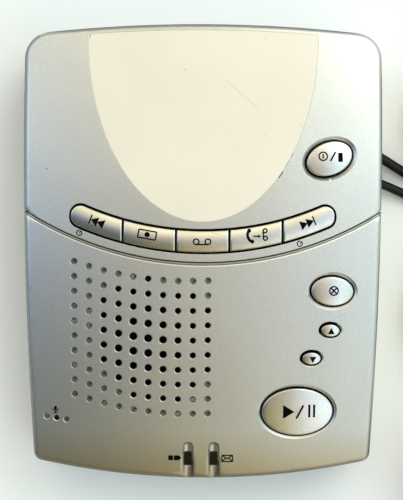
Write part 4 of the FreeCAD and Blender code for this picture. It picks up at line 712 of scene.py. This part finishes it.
# After the name come the two tones, how metallic the surface is, its roughness and the swing of it.
FINISHES: dict[str, Finish] = {
    finish.name: finish
    for finish in (
        # satin silver lacquer over moulded ABS
        SilverPaint(
            "silver_paint", "c6c6c0", "bfbfb9", 0.94, 0.4, 0.03, drift_mm=45.0, grain_mm=0.3,
            grain_depth_mm=0.004, marks=FACE_SCRATCHES_AND_GROOVE_SHADE, painted_side_shade="2b2a26", front_reflection_tint="a08a4c",
        ),
        # the same lacquer on the keys, a little warmer and glossier from fingers
        SilverPaint(
            "key_paint", "cfcfca", "c4c3bb", 0.95, 0.26, 0.04, coat=0.1, drift_mm=9.0, grain_mm=0.3,
            grain_depth_mm=0.004, dust_mm=1.5, dust_share=0.04, recess_shade_depth_mm=0.1,
            unpainted_shade_depth_mm=0.3, steep=0.0, marks=KEY_MARKS, edge_mm=0.0,
        ),
        # moulded cream polystyrene with a soft matt sheen
        Worn(
            "cream_panel", "ece2ce", "e8ddc8", 0.0, 0.5, 0.04, ior=1.59, drift_mm=35.0,
            grain_mm=0.5, grain_depth_mm=0.003, dust_mm=3.0, dust_share=0.02, marks=PANEL_MARKS,
        ),
        # textured grey ABS of the lower casing
        Finish("grey_plastic", "a4a59f", "989992", 0.0, 0.55, grain_mm=0.5, grain_depth_mm=0.03),
        # zinc-plated steel screws
        Finish("zinc_steel", "c3c3bf", "a9aaa6", 1.0, 0.34, 0.1, grain_mm=0.2, drift_mm=2.0),
        # moulded nitrile rubber feet
        Finish("black_rubber", "1b1b1b", "141414", 0.0, 0.75, grain_mm=0.5, grain_depth_mm=0.03),
        # silicone keypad, milky and soft
        Finish("silicone", "c9c7bd", "bcbab0", 0.0, 0.5, ior=1.41, drift_mm=10.0),
        BoardLaminate("fibreglass", "1f6b3a", "195a31", 0.0, 0.33, ior=1.5, coat=0.4),
        # transfer-moulded epoxy of the chips
        Finish("chip_epoxy", "1d1d1f", "171719", 0.0, 0.6, grain_mm=0.15, grain_depth_mm=0.008),
        TopFaced("can_aluminium", "1c2a44", "16233a", 0.0, 0.35, coat=0.3),
        Striped("core_steel", "77756f", "66645f", 0.8, 0.45, stripe="3a3936", pitch_mm=0.5),
        Finish("relay_case", "d8d6cc", "cfcdc3", 0.0, 0.35, ior=1.59, transmission=0.15),
        Striped(
            "ribbon_vinyl", "b4b4b0", "a8a8a4", 0.0, 0.45, stripe="7d7d79", pitch_mm=1.27,
            axis=Axis.Y,
        ),
        Finish("jack_plastic", "1d1d1e", "171718", 0.0, 0.3, ior=1.59),
        # tinted epoxy of the indicator lamps
        Finish("lamp_epoxy", "c23a26", "b83020", 0.0, 0.12, 0.02, ior=1.53, transmission=0.6),
        # smoked acrylic, nearly black and glossy
        Finish("smoked_window", "0b0907", "080605", 0.0, 0.12, 0.02, ior=1.33),
        Finish("pressed_steel", "a3a39f", "8f8f8b", 1.0, 0.38, 0.08, drift_mm=8.0),
        Finish("magnet_ferrite", "3a393a", "2e2d2e", 0.3, 0.55, grain_mm=0.2),
        # pressed paper pulp of the cone
        Finish("cone_paper", "23211f", "1a1918", 0.0, 0.85, grain_mm=0.5, grain_depth_mm=0.06),
        # pressed wool felt
        Finish(
            "felt", "3b3a38", "2b2a29", 0.0, 0.95, drift_mm=3.0, grain_mm=0.4, grain_depth_mm=0.15
        ),
        Banded(
            "battery_jacket", "1f1f21", "18181a", 0.4, 0.35, coat=0.4, band="b07a43", split_mm=2.0
        ),
        Finish("clip_vinyl", "1b1b1b", "141414", 0.0, 0.4),
        # clear polycarbonate of the modular plugs
        Finish("clear_plug", "e6ebe6", "dfe5df", 0.0, 0.12, 0.03, ior=1.58, transmission=0.7),
        # extruded black vinyl of the cords
        Finish(
            "cord_vinyl", "070707", "050505", 0.0, 0.45, 0.07, ior=1.33, grain_mm=0.6,
            grain_depth_mm=0.012,
        ),
        Finish("supply_plastic", "202021", "18181a", 0.0, 0.55, grain_mm=0.5, grain_depth_mm=0.04),
        Finish("nickel_pins", "cfcabd", "bdb8aa", 1.0, 0.24, 0.06, grain_mm=0.2, drift_mm=4.0),
        Finish("tie_vinyl", "191919", "111111", 0.0, 0.35),
        # pad-printed ink of the signs
        Finish("print_ink", "060505", "040404", 0.0, 0.8, ior=1.15, grain_mm=0.25, drift_mm=2.0),
    )
}

# finish: the still CAD nodes that have it
DRESSED = {
    "silver_paint": "top_cover",
    "cream_panel": "name_panel",
    "grey_plastic": "base battery_lid",
    "zinc_steel": "case_screws inner_screws",
    "black_rubber": "feet microphone_boot",
    "silicone": "keypad_mat",
    "fibreglass": "key_board main_board",
    "chip_epoxy": "chips",
    "can_aluminium": "capacitors",
    "core_steel": "line_transformer",
    "relay_case": "line_relay",
    "ribbon_vinyl": "board_ribbon",
    "jack_plastic": "line_jack power_jack",
    "lamp_epoxy": "lamps",
    "smoked_window": "windows",
    "pressed_steel": "speaker_frame microphone",
    "magnet_ferrite": "speaker_magnet",
    "cone_paper": "speaker_cone",
    "felt": "speaker_gasket",
    "battery_jacket": "backup_battery",
    "clip_vinyl": "battery_clip",
    "clear_plug": "line_plug_near line_plug_far",
    "supply_plastic": "power_plug_near power_supply",
    "nickel_pins": "supply_pins",
    "tie_vinyl": "cord_ties",
}


@cache
def material(name: str) -> bpy.types.Material:
    """Return the material of a finish, built when first asked for."""
    return FINISHES[name].material()


# ---------------------------------------------------------------- plan patches for printed signs
def turned(x: np.ndarray, y: np.ndarray, degrees: float) -> tuple[np.ndarray, np.ndarray]:
    """Turn plan coordinates counter-clockwise about the origin."""
    turn = math.radians(degrees)
    return x * math.cos(turn) - y * math.sin(turn), x * math.sin(turn) + y * math.cos(turn)


@dataclass
class Patch:
    """A grid of plan points; closed means that its first and last rows meet."""

    x: np.ndarray
    y: np.ndarray
    closed: bool = False

    def moved(self, x: float, y: float, degrees: float = 0.0) -> "Patch":
        """Turn the patch about its own origin and shift it."""
        across, along = turned(self.x, self.y, degrees)
        return Patch(across + x, along + y, self.closed)


def quad(corners: list[tuple[float, float] | np.ndarray], steps: int = 7) -> Patch:
    """Patch between four corners, counter-clockwise; two may coincide to give a triangle."""
    u, v = np.meshgrid(np.linspace(0, 1, steps), np.linspace(0, 1, steps), indexing="ij")
    weights = ((1 - u) * (1 - v), u * (1 - v), u * v, (1 - u) * v)
    x, y = (
        sum(weight * corner[axis] for weight, corner in zip(weights, corners)) for axis in (0, 1)
    )
    return Patch(x, y)


def bar(x0: float, y0: float, x1: float, y1: float, width: float) -> Patch:
    """Straight stroke from one point to another."""
    run = np.array([x1 - x0, y1 - y0])
    side = np.array([-run[1], run[0]]) / np.hypot(*run) * width / 2
    start, end = np.array([x0, y0]), np.array([x1, y1])
    return quad([start - side, end - side, end + side, start + side])


def box(half_x: float, half_y: float, width: float) -> list[Patch]:
    """Outline of a rectangle about the origin."""
    corners = [(-half_x, -half_y), (half_x, -half_y), (half_x, half_y), (-half_x, half_y)]
    return [bar(*a, *b, width) for a, b in zip(corners, corners[1:] + corners[:1])]


def triangle(x: float, y: float, reach: float, half: float, degrees: float = 0.0) -> Patch:
    """Solid arrow head with its base through x, y and its tip reach away, turned."""
    tip = (reach, 0.0)
    return quad([(0.0, -half), tip, tip, (0.0, half)]).moved(x, y, degrees)


def ring(
    x: float, y: float, radius: float, width: float, start: float = 0.0, sweep: float = 360.0
) -> Patch:
    """Stroke along a circle: the angle runs one way and the radius the other."""
    angles = np.radians(np.linspace(start, start + sweep, 25))
    radii = np.array([radius - width / 2, radius + width / 2])
    a, r = np.meshgrid(angles, radii, indexing="ij")
    return Patch(x + r * np.cos(a), y + r * np.sin(a), closed=sweep >= 360.0)


def disc(x: float, y: float, radius: float, stretch: float = 1.0) -> Patch:
    """Filled circle, or an ellipse stretched along y: rings that grow about its centre."""
    angles = np.radians(np.linspace(0, 360, 21))
    a, r = np.meshgrid(angles, np.linspace(0, radius, 4), indexing="ij")
    return Patch(x + r * np.cos(a), y + r * np.sin(a) * stretch, closed=True)


# ---------------------------------------------------------------- key crowns and rings
@dataclass(frozen=True)
class RowCrown:
    """Crown of the curved key row: a round bead that follows the face along an arc."""

    inner: float = 98.95
    outer: float = 107.4
    arc_y: float = 106.8
    rise: float = 0.9
    bead: float = 9.0
    rounds: int = 12

    def height(self, x: np.ndarray, y: np.ndarray) -> np.ndarray:
        """Height of the bead: a point stays one bead radius from the ring it is turned about.

        The height is found by Newton's rule on the distance to that ring.
        """
        middle = (self.inner + self.outer) / 2
        lean = math.asin((self.arc_y - middle - FACE.middle_y) / FACE.radius)
        spread = math.atan(middle / FACE.radius)
        axis = np.array([0.0, math.sin(lean + spread), math.cos(lean + spread)])
        reach = FACE.radius + self.rise - self.bead
        radius, level = reach * math.sin(spread), reach * math.cos(spread)
        z = FACE.height(x, y)
        for _ in range(self.rounds):
            offset = np.stack([x, y, z], -1) - FACE.centre
            along = offset @ axis
            out = offset - along[..., None] * axis
            across = np.linalg.norm(out, axis=-1)
            gap = np.sqrt((across - radius) ** 2 + (along - level) ** 2)
            slope = ((across - radius) * out[..., 2] / across + (along - level) * axis[2]) / gap
            z = z - (gap - self.bead) / np.maximum(slope, 0.2)
        return z


@dataclass(frozen=True)
class OvalKey:
    """An oval key: its crown is a cap of a ball set square on the face.

    A shallow ring lies round it and falls from the face to the rim of its opening.
    """

    x: float
    y: float
    half_length: float
    half_width: float
    turn: float
    rise: float
    ring: float
    slope: float = 0.65
    gap: float = 0.55
    overrun: float = 0.5
    sides: int = 96
    shallowest: float = 0.01
    deepest: float = 1.05

    @property
    def foot(self) -> np.ndarray:
        """Point of the face at the key's middle."""
        return np.array([self.x, self.y, float(FACE.height(self.x, self.y))])

    def height(self, x: np.ndarray, y: np.ndarray) -> np.ndarray:
        """Height of the crown: its centre's height plus the root of what is left of its radius."""
        radius = (self.half_length**2 + self.rise**2) / (2 * self.rise)
        centre = self.foot + FACE.normal(self.x, self.y) * (self.rise - radius)
        return centre[2] + np.sqrt(radius**2 - np.square(x - centre[0]) - np.square(y - centre[1]))

    def ease(self, points: np.ndarray) -> np.ndarray:
        """Raise a ring that falls too steeply to this ring's slope.

        The depth of each point of the ring under the face is scaled by the ratio of the slopes.
        A point deeper than the deepest belongs to the opening's wall and stays.

        Args:
            points: corners of the casing, one row each.

        Returns:
            The corners, those on the ring moved.
        """
        along, across = turned(points[:, 0] - self.x, points[:, 1] - self.y, -self.turn)

        def reach(grow: float) -> np.ndarray:
            """Distance from the middle, as a share of the oval grown by that much."""
            return np.hypot(along / (self.half_length + grow), across / (self.half_width + grow))

        depth = FACE.height(points[:, 0], points[:, 1]) - points[:, 2]
        on_ring = (reach(self.gap / 2) > 1) & (reach(self.gap + self.ring + self.gap / 2) < 1)
        on_ring &= (depth > self.shallowest) & (depth < self.deepest)
        moved = points.copy()
        moved[:, 2] += np.where(on_ring, depth * (1 - self.slope * self.ring), 0.0)
        return moved

    def cutter(self) -> Mesh:
        """Frustum on an ellipse, square to the face, whose side is the ring's surface.

        Returns:
            A closed mesh in metres.
        """
        low, high = -self.slope * self.ring - self.overrun, self.overrun
        heights = np.array([low, low, high, high])
        grows = self.gap + self.ring + heights / self.slope
        filled = np.array([0.0, 1.0, 1.0, 0.0])
        angles = np.linspace(0, FULL_TURN, self.sides + 1)[:-1]
        a, row = np.meshgrid(angles, np.arange(len(heights)), indexing="ij")
        u = (self.half_length + grows[row]) * filled[row] * np.cos(a)
        v = (self.half_width + grows[row]) * filled[row] * np.sin(a)
        up = Vector(FACE.normal(self.x, self.y))
        tilt = np.array(Vector((0, 0, 1)).rotation_difference(up).to_matrix())
        frustum = np.stack([*turned(u, v, self.turn), heights[row]], -1)
        points = (frustum @ tilt.T + self.foot).reshape(-1, 3)
        grid = np.arange(len(points)).reshape(self.sides, -1)
        return welded(built("ring_cutter", points, quads(np.vstack([grid, grid[:1]]))), 1e-7, 1e-7)


OVAL_KEYS = {
    "key_stop": OvalKey(42.55, 31.7, 8.0, 5.45, 22.0, 1.0, 1.35, 0.72),
    "key_erase": OvalKey(43.7, -12.8, 7.15, 4.85, -3.0, 0.9, 1.1),
    "key_up": OvalKey(43.2, -26.1, 3.1, 2.0, -3.0, 0.5, 0.5, 0.9),
    "key_down": OvalKey(36.9, -35.6, 3.1, 2.0, 0.0, 0.5, 0.5, 0.9),
    "key_play": OvalKey(32.35, -53.85, 12.1, 8.05, 0.0, 1.1, 1.2),
}


# ---------------------------------------------------------------- casing
@dataclass
class Casing:
    """Upper and lower casing with the panel, indicator signs and everything that stays put."""

    carved_ring: str = "key_stop"
    sharp_degrees: float = 20.0
    sign_proud: float = 0.025
    sign_sunk: float = 0.15
    sign_x: float = -9.2
    sign_y: float = -70.0
    letter_x: float = 8.7
    clock_left: tuple[float, float] = (-41.4, 6.45)
    clock_right: tuple[float, float] = (32.5, 3.1)
    mic_sign: tuple[float, float] = (-49.9, -53.7)

    def build(self) -> None:
        """Dress every still CAD node, and add the face's skins and printed signs."""
        for finish, nodes in DRESSED.items():
            for node in nodes.split():
                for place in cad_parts[node].material_slots:
                    place.material = material(finish)
        cover, panel = self.dished(merged_copy("top_cover")), merged_copy("name_panel")
        for node, mesh, finish in (
            ("top_cover", cover, "silver_paint"),
            ("name_panel", panel, "cream_panel"),
        ):
            FACE.true_normals(smooth_shaded(mesh, self.sharp_degrees))
            add_piece(node + "_skin", mesh, finish, "case", stands_for=(node,))
        signs = {
            "sign_battery": self.battery_sign(),
            "sign_envelope": self.envelope_sign(),
            "sign_clocks": self.clock_sign(*self.clock_left) + self.clock_sign(*self.clock_right),
            "sign_microphone": self.microphone_sign(),
        }
        for name, patches in signs.items():
            mesh = slab_mesh(name, patches, FACE.height, self.sign_proud, self.sign_sunk)
            add_piece(name, mesh, "print_ink", "case", slot="silver_paint")

    def dished(self, mesh: Mesh) -> Mesh:
        """Give the upper casing its rings: one is carved, and the others are made shallower."""
        points = read(mesh.vertices, "co") / MM
        for name, key in OVAL_KEYS.items():
            if name != self.carved_ring:
                points = key.ease(points)
        mesh.vertices.foreach_set("co", (points * MM).ravel())
        mesh.update()
        return carved(mesh, OVAL_KEYS[self.carved_ring].cutter())

    def battery_sign(self) -> list[Patch]:
        """Two filled cells on end, the second with its stud towards the lamp."""
        x, y = self.sign_x, self.sign_y
        return [
            bar(x - 2.2, y, x - 0.55, y, 1.7),
            bar(x - 0.3, y, x + 1.45, y, 1.7),
            triangle(x + 1.4, y, 0.95, 0.85),
        ]

    def envelope_sign(self) -> list[Patch]:
        """Outline of a letter with the fold of its flap."""
        half, rise, line = 1.85, 1.1, 0.4
        parts = box(half, rise, line)
        for side in (-1, 1):
            parts.append(bar(side * half, rise, 0.0, -0.1, line))
            parts.append(bar(side * half, -rise, side * 0.5, 0.15, line))
        return [part.moved(self.letter_x, self.sign_y - 0.15) for part in parts]

    def clock_sign(self, x: float, y: float) -> list[Patch]:
        """Small round clock, open at the top right, with one hand."""
        return [ring(x, y, 0.88, 0.36, 75.0, 330.0), bar(x, y, x + 0.75, y + 0.75, 0.34)]

    def microphone_sign(self) -> list[Patch]:
        """Small capsule on a stand."""
        x, y = self.mic_sign
        return [
            disc(x, y + 0.5, 0.5, 1.5),
            ring(x, y + 0.45, 0.95, 0.32, 180.0, 180.0),
            bar(x, y - 0.5, x, y - 1.1, 0.34),
            bar(x - 0.6, y - 1.1, x + 0.6, y - 1.1, 0.34),
        ]


# ---------------------------------------------------------------- keys
@dataclass
class KeySet:
    """The five keys of the row and the five oval keys, each with its sign and its rubber dome."""

    sharp_degrees: float = 28.0
    sign_proud: float = 0.02
    sign_sunk: float = 0.12
    line: float = 0.48
    dome_keep: float = 0.72

    def signs(self) -> dict[str, tuple[list[Patch], float, float, float]]:
        """The sign of every key about its own origin, then its place in plan and its turn."""
        arrow = [triangle(0.0, 0.0, 2.2, 1.2)]
        return {
            "key_back": (self.skip_sign(), -35.45, 10.15, 158.0),
            "key_record": (self.record_sign(), -18.5, 5.9, -10.0),
            "key_memo": (self.tape_sign(), -0.2, 3.5, 0.0),
            "key_copy": (self.handset_sign(), 18.2, 5.5, 0.0),
            "key_forward": (self.skip_sign(), 35.15, 10.0, 22.0),
            "key_stop": (self.stop_sign(), 43.0, 32.4, 0.0),
            "key_erase": (self.cross_sign(), 44.1, -12.7, 0.0),
            "key_up": (arrow, 43.45, -27.35, 90.0),
            "key_down": (arrow, 37.3, -35.0, -90.0),
            "key_play": (self.play_sign(), 0.0, -53.75, 0.0),
        }

    def build(self) -> None:
        """Give each key a smooth skin and its sign, both on the key's own body."""
        row = RowCrown()
        for key, (parts, *spot) in self.signs().items():
            patches = [part.moved(*spot) for part in parts]
            skin = smooth_shaded(merged_copy(key), self.sharp_degrees)
            add_piece(key + "_skin", skin, "key_paint", key, stands_for=(key,))
            height = OVAL_KEYS.get(key, row).height
            sign = slab_mesh(key + "_sign", patches, height, self.sign_proud, self.sign_sunk)
            add_piece(key.replace("key_", "sign_"), sign, "print_ink", key, slot="key_paint")
            self.rubber_dome(key)

    def rubber_dome(self, key: str) -> None:
        """Give the key's rubber dome a smooth skin of its own."""
        node = key.replace("key_", "dome_")
        mesh = smooth_shaded(merged_copy(node), self.sharp_degrees)
        dome = add_piece(node + "_skin", mesh, "silicone", "case", stands_for=(node,))
        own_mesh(dome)

    def skip_sign(self) -> list[Patch]:
        """Two solid arrow heads and a bar at their tips."""
        heads = [triangle(base, 0.0, 2.5, 1.6) for base in (-2.6, -0.35)]
        return [*heads, bar(2.25, -1.6, 2.25, 1.6, self.line)]

    def record_sign(self) -> list[Patch]:
        """Solid dot in a box."""
        return [*box(3.0, 1.35, self.line), disc(0.0, 0.0, 0.9)]

    def tape_sign(self) -> list[Patch]:
        """Two reels joined by the tape under them."""
        reels = [ring(side * 1.95, 0.1, 0.92, self.line) for side in (-1, 1)]
        return [*reels, bar(-1.9, -0.85, 1.9, -0.85, self.line)]

    def handset_sign(self) -> list[Patch]:
        """Handset, an arrow, and the two reels on end."""
        handset = [ring(1.55, 0.0, 2.6, 0.9, 130.0, 100.0)]
        handset += [disc(0.0, side * 1.9, 0.6, 1.15) for side in (1, -1)]
        reels = [ring(0.0, side * 1.25, 0.66, self.line) for side in (1, -1)]
        reels.append(bar(-0.7, 1.25, -0.7, -1.25, self.line))
        return [
            *(part.moved(-2.15, 0.05, 16.0) for part in handset),
            bar(-1.35, 0.0, 0.45, 0.0, self.line),
            triangle(0.3, 0.0, 0.95, 0.6),
            *(part.moved(2.65, 0.6, 3.0) for part in reels),
        ]

    def stop_sign(self) -> list[Patch]:
        """Circle with an upright bar, a slash, and a solid block."""
        return [
            ring(-2.75, 0.0, 1.4, self.line),
            bar(-2.75, -0.75, -2.75, 0.75, self.line),
            bar(-0.3, -1.6, 1.45, 1.55, self.line * 1.2),
            bar(3.15, -1.8, 3.15, 1.3, 1.6),
        ]

    def cross_sign(self, reach: float = 0.98) -> list[Patch]:
        """Circle with a cross in it."""
        rises = (reach, -reach)
        strokes = [bar(-reach, -rise, reach, rise, self.line) for rise in rises]
        return [ring(0.0, 0.0, 1.45, self.line), *strokes]

    def play_sign(self) -> list[Patch]:
        """Solid arrow head, a slash, and two bars."""
        bars = [bar(x, -1.95, x, 2.45, 0.75) for x in (36.35, 38.0)]
        return [triangle(27.4, 0.0, 3.9, 2.4), bar(31.95, -2.3, 34.3, 2.2, 0.7), *bars]


# ---------------------------------------------------------------- cords
@dataclass(frozen=True)
class Coil:
    """Tied round coil: cells of a stack, four across and four high, taken one turn each.

    The cells are given as digits, one word for each level from the bottom. The coil begins at the
    start angle, turns the short way from there towards +X, and ends at +X on its last cell.
    """

    x: float
    y: float
    radius: float
    start: float
    order: str
    low: float = 0.7
    per_turn: int = 14
    shift: float = 0.3

    def points(self, diameter: float) -> np.ndarray:
        """Control points: the angle runs on evenly, and a turn keeps its cell until its last part.

        There the cord crosses over smoothly to the next cell.

        Args:
            diameter: of the cord.

        Returns:
            Points, one row each.
        """
        words = enumerate(self.order.split())
        cells = np.array([(int(digit), level) for level, word in words for digit in word], float)
        last = len(cells) - 1
        turns = last + abs(self.start) / 360
        done = np.linspace(0.0, turns, int(round(turns * self.per_turn)) + 1)[1:-1]
        cell = np.minimum(np.floor(done), last).astype(int)
        ease = np.clip((done - cell - (1 - self.shift)) / self.shift, 0, 1)
        ease = ease * ease * (3 - 2 * ease)
        following = np.minimum(cell + 1, last)
        across, level = (cells[cell] * (1 - ease[:, None]) + cells[following] * ease[:, None]).T
        # the curve runs a little inside its control points
        swell = 1 / math.cos(math.pi / self.per_turn) ** 0.7
        out = (self.radius + (across - 1.5) * diameter) * swell
        turn = math.radians(self.start) - done * math.copysign(FULL_TURN, self.start)
        z = self.low + (level + 0.5) * diameter
        return np.stack([self.x + out * np.cos(turn), self.y + out * np.sin(turn), z], 1)


@dataclass
class Cord:
    """A free cord on one smooth curve: its way out, its coil and its tail."""

    name: str
    diameter: float
    length: float
    stiffness: str
    carried: tuple[str, ...]
    out: tuple[Triple, ...]
    coil: Coil
    tail: tuple[Triple, ...]

    def build(self) -> None:
        points = np.concatenate([self.out, self.coil.points(self.diameter), self.tail]) * MM
        curve = bpy.data.curves.new(self.name + "_run", "CURVE")
        curve.dimensions = "3D"
        curve.bevel_depth = self.diameter / 2 * MM
        curve.bevel_resolution = 4
        curve.resolution_u = 5
        curve.use_fill_caps = True
        spline = curve.splines.new("NURBS")
        spline.points.add(len(points) - 1)
        weighted = np.concatenate([points, np.ones((len(points), 1))], 1)
        spline.points.foreach_set("co", weighted.ravel())
        spline.order_u = 3
        spline.use_endpoint_u = True
        solids = tuple(f"{self.name}_{part}" for part in ("cord", "coil", "tail"))
        piece = add_piece(self.name + "_run", curve, "cord_vinyl", "case", stands_for=solids)
        list(self.carried)


CORDS = (
    Cord(
        "line", 3.6, 2100.0, "limp", ("line_plug_near", "line_plug_far", "cord_ties"),
        (
            (30.4, 37.0, 11.8), (38.5, 37.2, 10.9), (47.0, 37.7, 8.6), (55.5, 37.9, 6.3),
            (62.4, 36.2, 4.9), (69.2, 32.3, 3.2), (76.2, 28.1, 2.1), (83.8, 24.2, 1.95),
            (91.5, 21.6, 1.85), (99.5, 20.3, 2.0), (106.0, 20.3, 2.4),
        ),
        Coil(107.0, 47.0, 21.0, -92.1, "3210 0123 3210 0123"),
        (
            (133.4, 47.0, 13.3), (133.2, 55.0, 12.6), (132.2, 62.5, 9.6), (133.1, 69.8, 5.6),
            (135.6, 76.0, 3.7), (139.4, 81.5, 3.3),
        ),
    ),
    Cord(
        "power", 3.3, 1800.0, "medium", ("power_plug_near", "power_supply", "supply_pins"),
        (
            (43.3, 25.4, 11.8), (48.5, 25.6, 10.9), (54.6, 26.5, 8.0), (60.6, 26.6, 5.4),
            (66.6, 24.8, 3.6), (73.4, 22.0, 2.3), (81.0, 18.3, 1.75), (89.0, 13.8, 1.7),
            (97.5, 8.6, 1.75), (106.0, 4.0, 2.0), (114.0, -0.3, 2.35),
        ),
        Coil(104.0, -21.0, 18.5, 64.2, "3210 0123 3210 123"),
        (
            (126.9, -21.0, 12.25), (126.6, -28.0, 11.6), (124.8, -34.5, 9.6), (121.2, -40.2, 8.9),
            (116.2, -45.0, 9.9), (113.2, -50.2, 11.4), (111.8, -55.8, 12.0),
        ),
    ),
)


# ---------------------------------------------------------------- studio
@dataclass
class Studio:
    """Camera straight above, a pale table, one broad window light and a soft room.

    Colours of light are linear red, green and blue. Sizes of the table and the window are metres.
    """

    camera_at: Triple = (-0.37, 0.85, 380.0)
    camera_turn: float = 0.24
    lens: float = 49.39
    table: str = "f7f8f5"
    table_roughness: float = 0.7
    table_half: float = 3.0
    room_above: Triple = (0.77, 0.66, 0.54)
    room_right: Triple = (1.12, 1.25, 1.4)
    room_rear: Triple = (1.08, 1.02, 0.84)
    room_sides: Triple = (-0.28, 1.38, 3.65)
    room_corners: Triple = (-2.35, -1.85, -2.0)
    room_ends: Triple = (1.74, 1.66, 0.3)
    room_reach: float = 0.5
    room_least: Triple = (0.11, 0.13, 0.11)
    room_most: float = 1.75
    horizon: Triple = (0.28, 0.28, 0.23)
    horizon_right: Triple = (0.36, 0.45, 0.5)
    horizon_rear: Triple = (-0.02, 0.03, 0.14)
    horizon_low: float = 0.1
    horizon_high: float = 0.8
    side_window: Triple = (-0.74, 0.2, 0.64)
    side_light: Triple = (0.8, 1.15, 1.55)
    side_edge: float = 0.93
    side_core: float = 0.98
    window_power: float = 5.0
    window_size: tuple[float, float] = (0.9, 0.7)
    window_at: Triple = (0.75, 0.8, 0.95)

    def camera(self) -> None:
        """Camera looking straight down."""
        data = bpy.data.cameras.new("view_camera")
        data.sensor_fit = "VERTICAL"
        data.sensor_height = 24.0
        data.lens = self.lens
        data.clip_start = 0.01
        data.clip_end = 20.0
        camera = placed("view_camera", data)
        camera.location = np.array(self.camera_at) * MM
        camera.rotation_euler = (0.0, 0.0, math.radians(self.camera_turn))
        bpy.context.scene.camera = camera

    def floor(self) -> None:
        """Wide pale table, which keeps the shadows."""
        made = bpy.data.materials.new("table_white")
        made.use_nodes = True
        shader = made.node_tree.nodes["Principled BSDF"]
        shader.inputs["Base Color"].default_value = linear(self.table)
        shader.inputs["Roughness"].default_value = self.table_roughness
        spread = np.linspace(-self.table_half, self.table_half, 3) * METRE
        x, y = np.meshgrid(spread, spread, indexing="ij")
        points = np.stack([x, y, np.zeros_like(x)], -1).reshape(-1, 3)
        mesh = built("table", points, quads(np.arange(x.size).reshape(x.shape)))
        mesh.materials.append(made)
        placed("table", mesh)

    def room(self) -> None:
        """Room light: bright towards the rear right, cool at the sides, warm and dim in front.

        Overhead it is an even quadratic of the direction, capped at room_most. It falls off to a
        darker horizon and never below room_least. A small bluish window stands at the left.
        """
        world = bpy.data.worlds.new("soft_room")
        bpy.context.scene.world = world
        world.use_nodes = True
        graph = Graph(world.node_tree, "Generated")
        right, rear, up = (graph.part(graph.place, axis) for axis in range(3))
        across, along = (
            graph.add("Clamp", {0: part, 1: -self.room_reach, 2: self.room_reach}).outputs[0]
            for part in (right, rear)
        )
        tone: Triple | Socket = self.room_above
        for lean, gain in (
            (across, self.room_right),
            (along, self.room_rear),
            (graph.product(across, across), self.room_sides),
            (graph.product(across, along), self.room_corners),
            (graph.product(along, along), self.room_ends),
        ):
            tone = graph.vector("MULTIPLY_ADD", lean, gain, tone)
        tone = graph.vector("MINIMUM", tone, (self.room_most,) * 3)
        low: Triple | Socket = self.horizon
        for lean, gain in ((right, self.horizon_right), (rear, self.horizon_rear)):
            low = graph.vector("MULTIPLY_ADD", lean, gain, low)
        smooth = {"interpolation_type": "SMOOTHSTEP"}
        height = graph.ramp(up, self.horizon_low, self.horizon_high, **smooth)
        tone = graph.vector("MAXIMUM", graph.mix(height, low, tone), self.room_least)
        pane_way = tuple(Vector(self.side_window).normalized())
        near = graph.vector("DOT_PRODUCT", graph.place, pane_way)
        pane = graph.ramp(near, self.side_edge, self.side_core, **smooth)
        tone = graph.vector("MULTIPLY_ADD", pane, self.side_light, tone)
        light, plain = (
            graph.add("Background", {"Color": colour, "Strength": 1.0}).outputs[0]
            for colour in (tone, (1.0, 1.0, 1.0, 1.0))
        )
        seen = graph.add("LightPath").outputs["Is Camera Ray"]
        mixed = graph.add("MixShader", {0: seen, 1: light, 2: plain}).outputs[0]
        graph.add("OutputWorld", {"Surface": mixed})

    def window(self) -> None:
        """Broad soft light from the rear right."""
        data = bpy.data.lights.new("window_light", "AREA")
        data.shape = "RECTANGLE"
        data.size, data.size_y = self.window_size
        data.energy = self.window_power
        light = placed("window_light", data)
        light.location = self.window_at
        light.rotation_mode = "QUATERNION"
        light.rotation_quaternion = (-light.location).to_track_quat("-Z", "Y")


def main() -> None:
    """Build the camera, the cords, the casing, the keys and the studio, in that order."""
    logging.basicConfig(level=logging.INFO, format="%(name)s: %(message)s")
    bpy.context.scene.view_settings.view_transform = "Standard"
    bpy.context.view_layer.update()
    studio = Studio()
    studio.camera()
    for cord in CORDS:
        cord.build()
    Casing().build()
    KeySet().build()
    studio.floor()
    studio.room()
    studio.window()


if __name__ == "__main__":
    main()
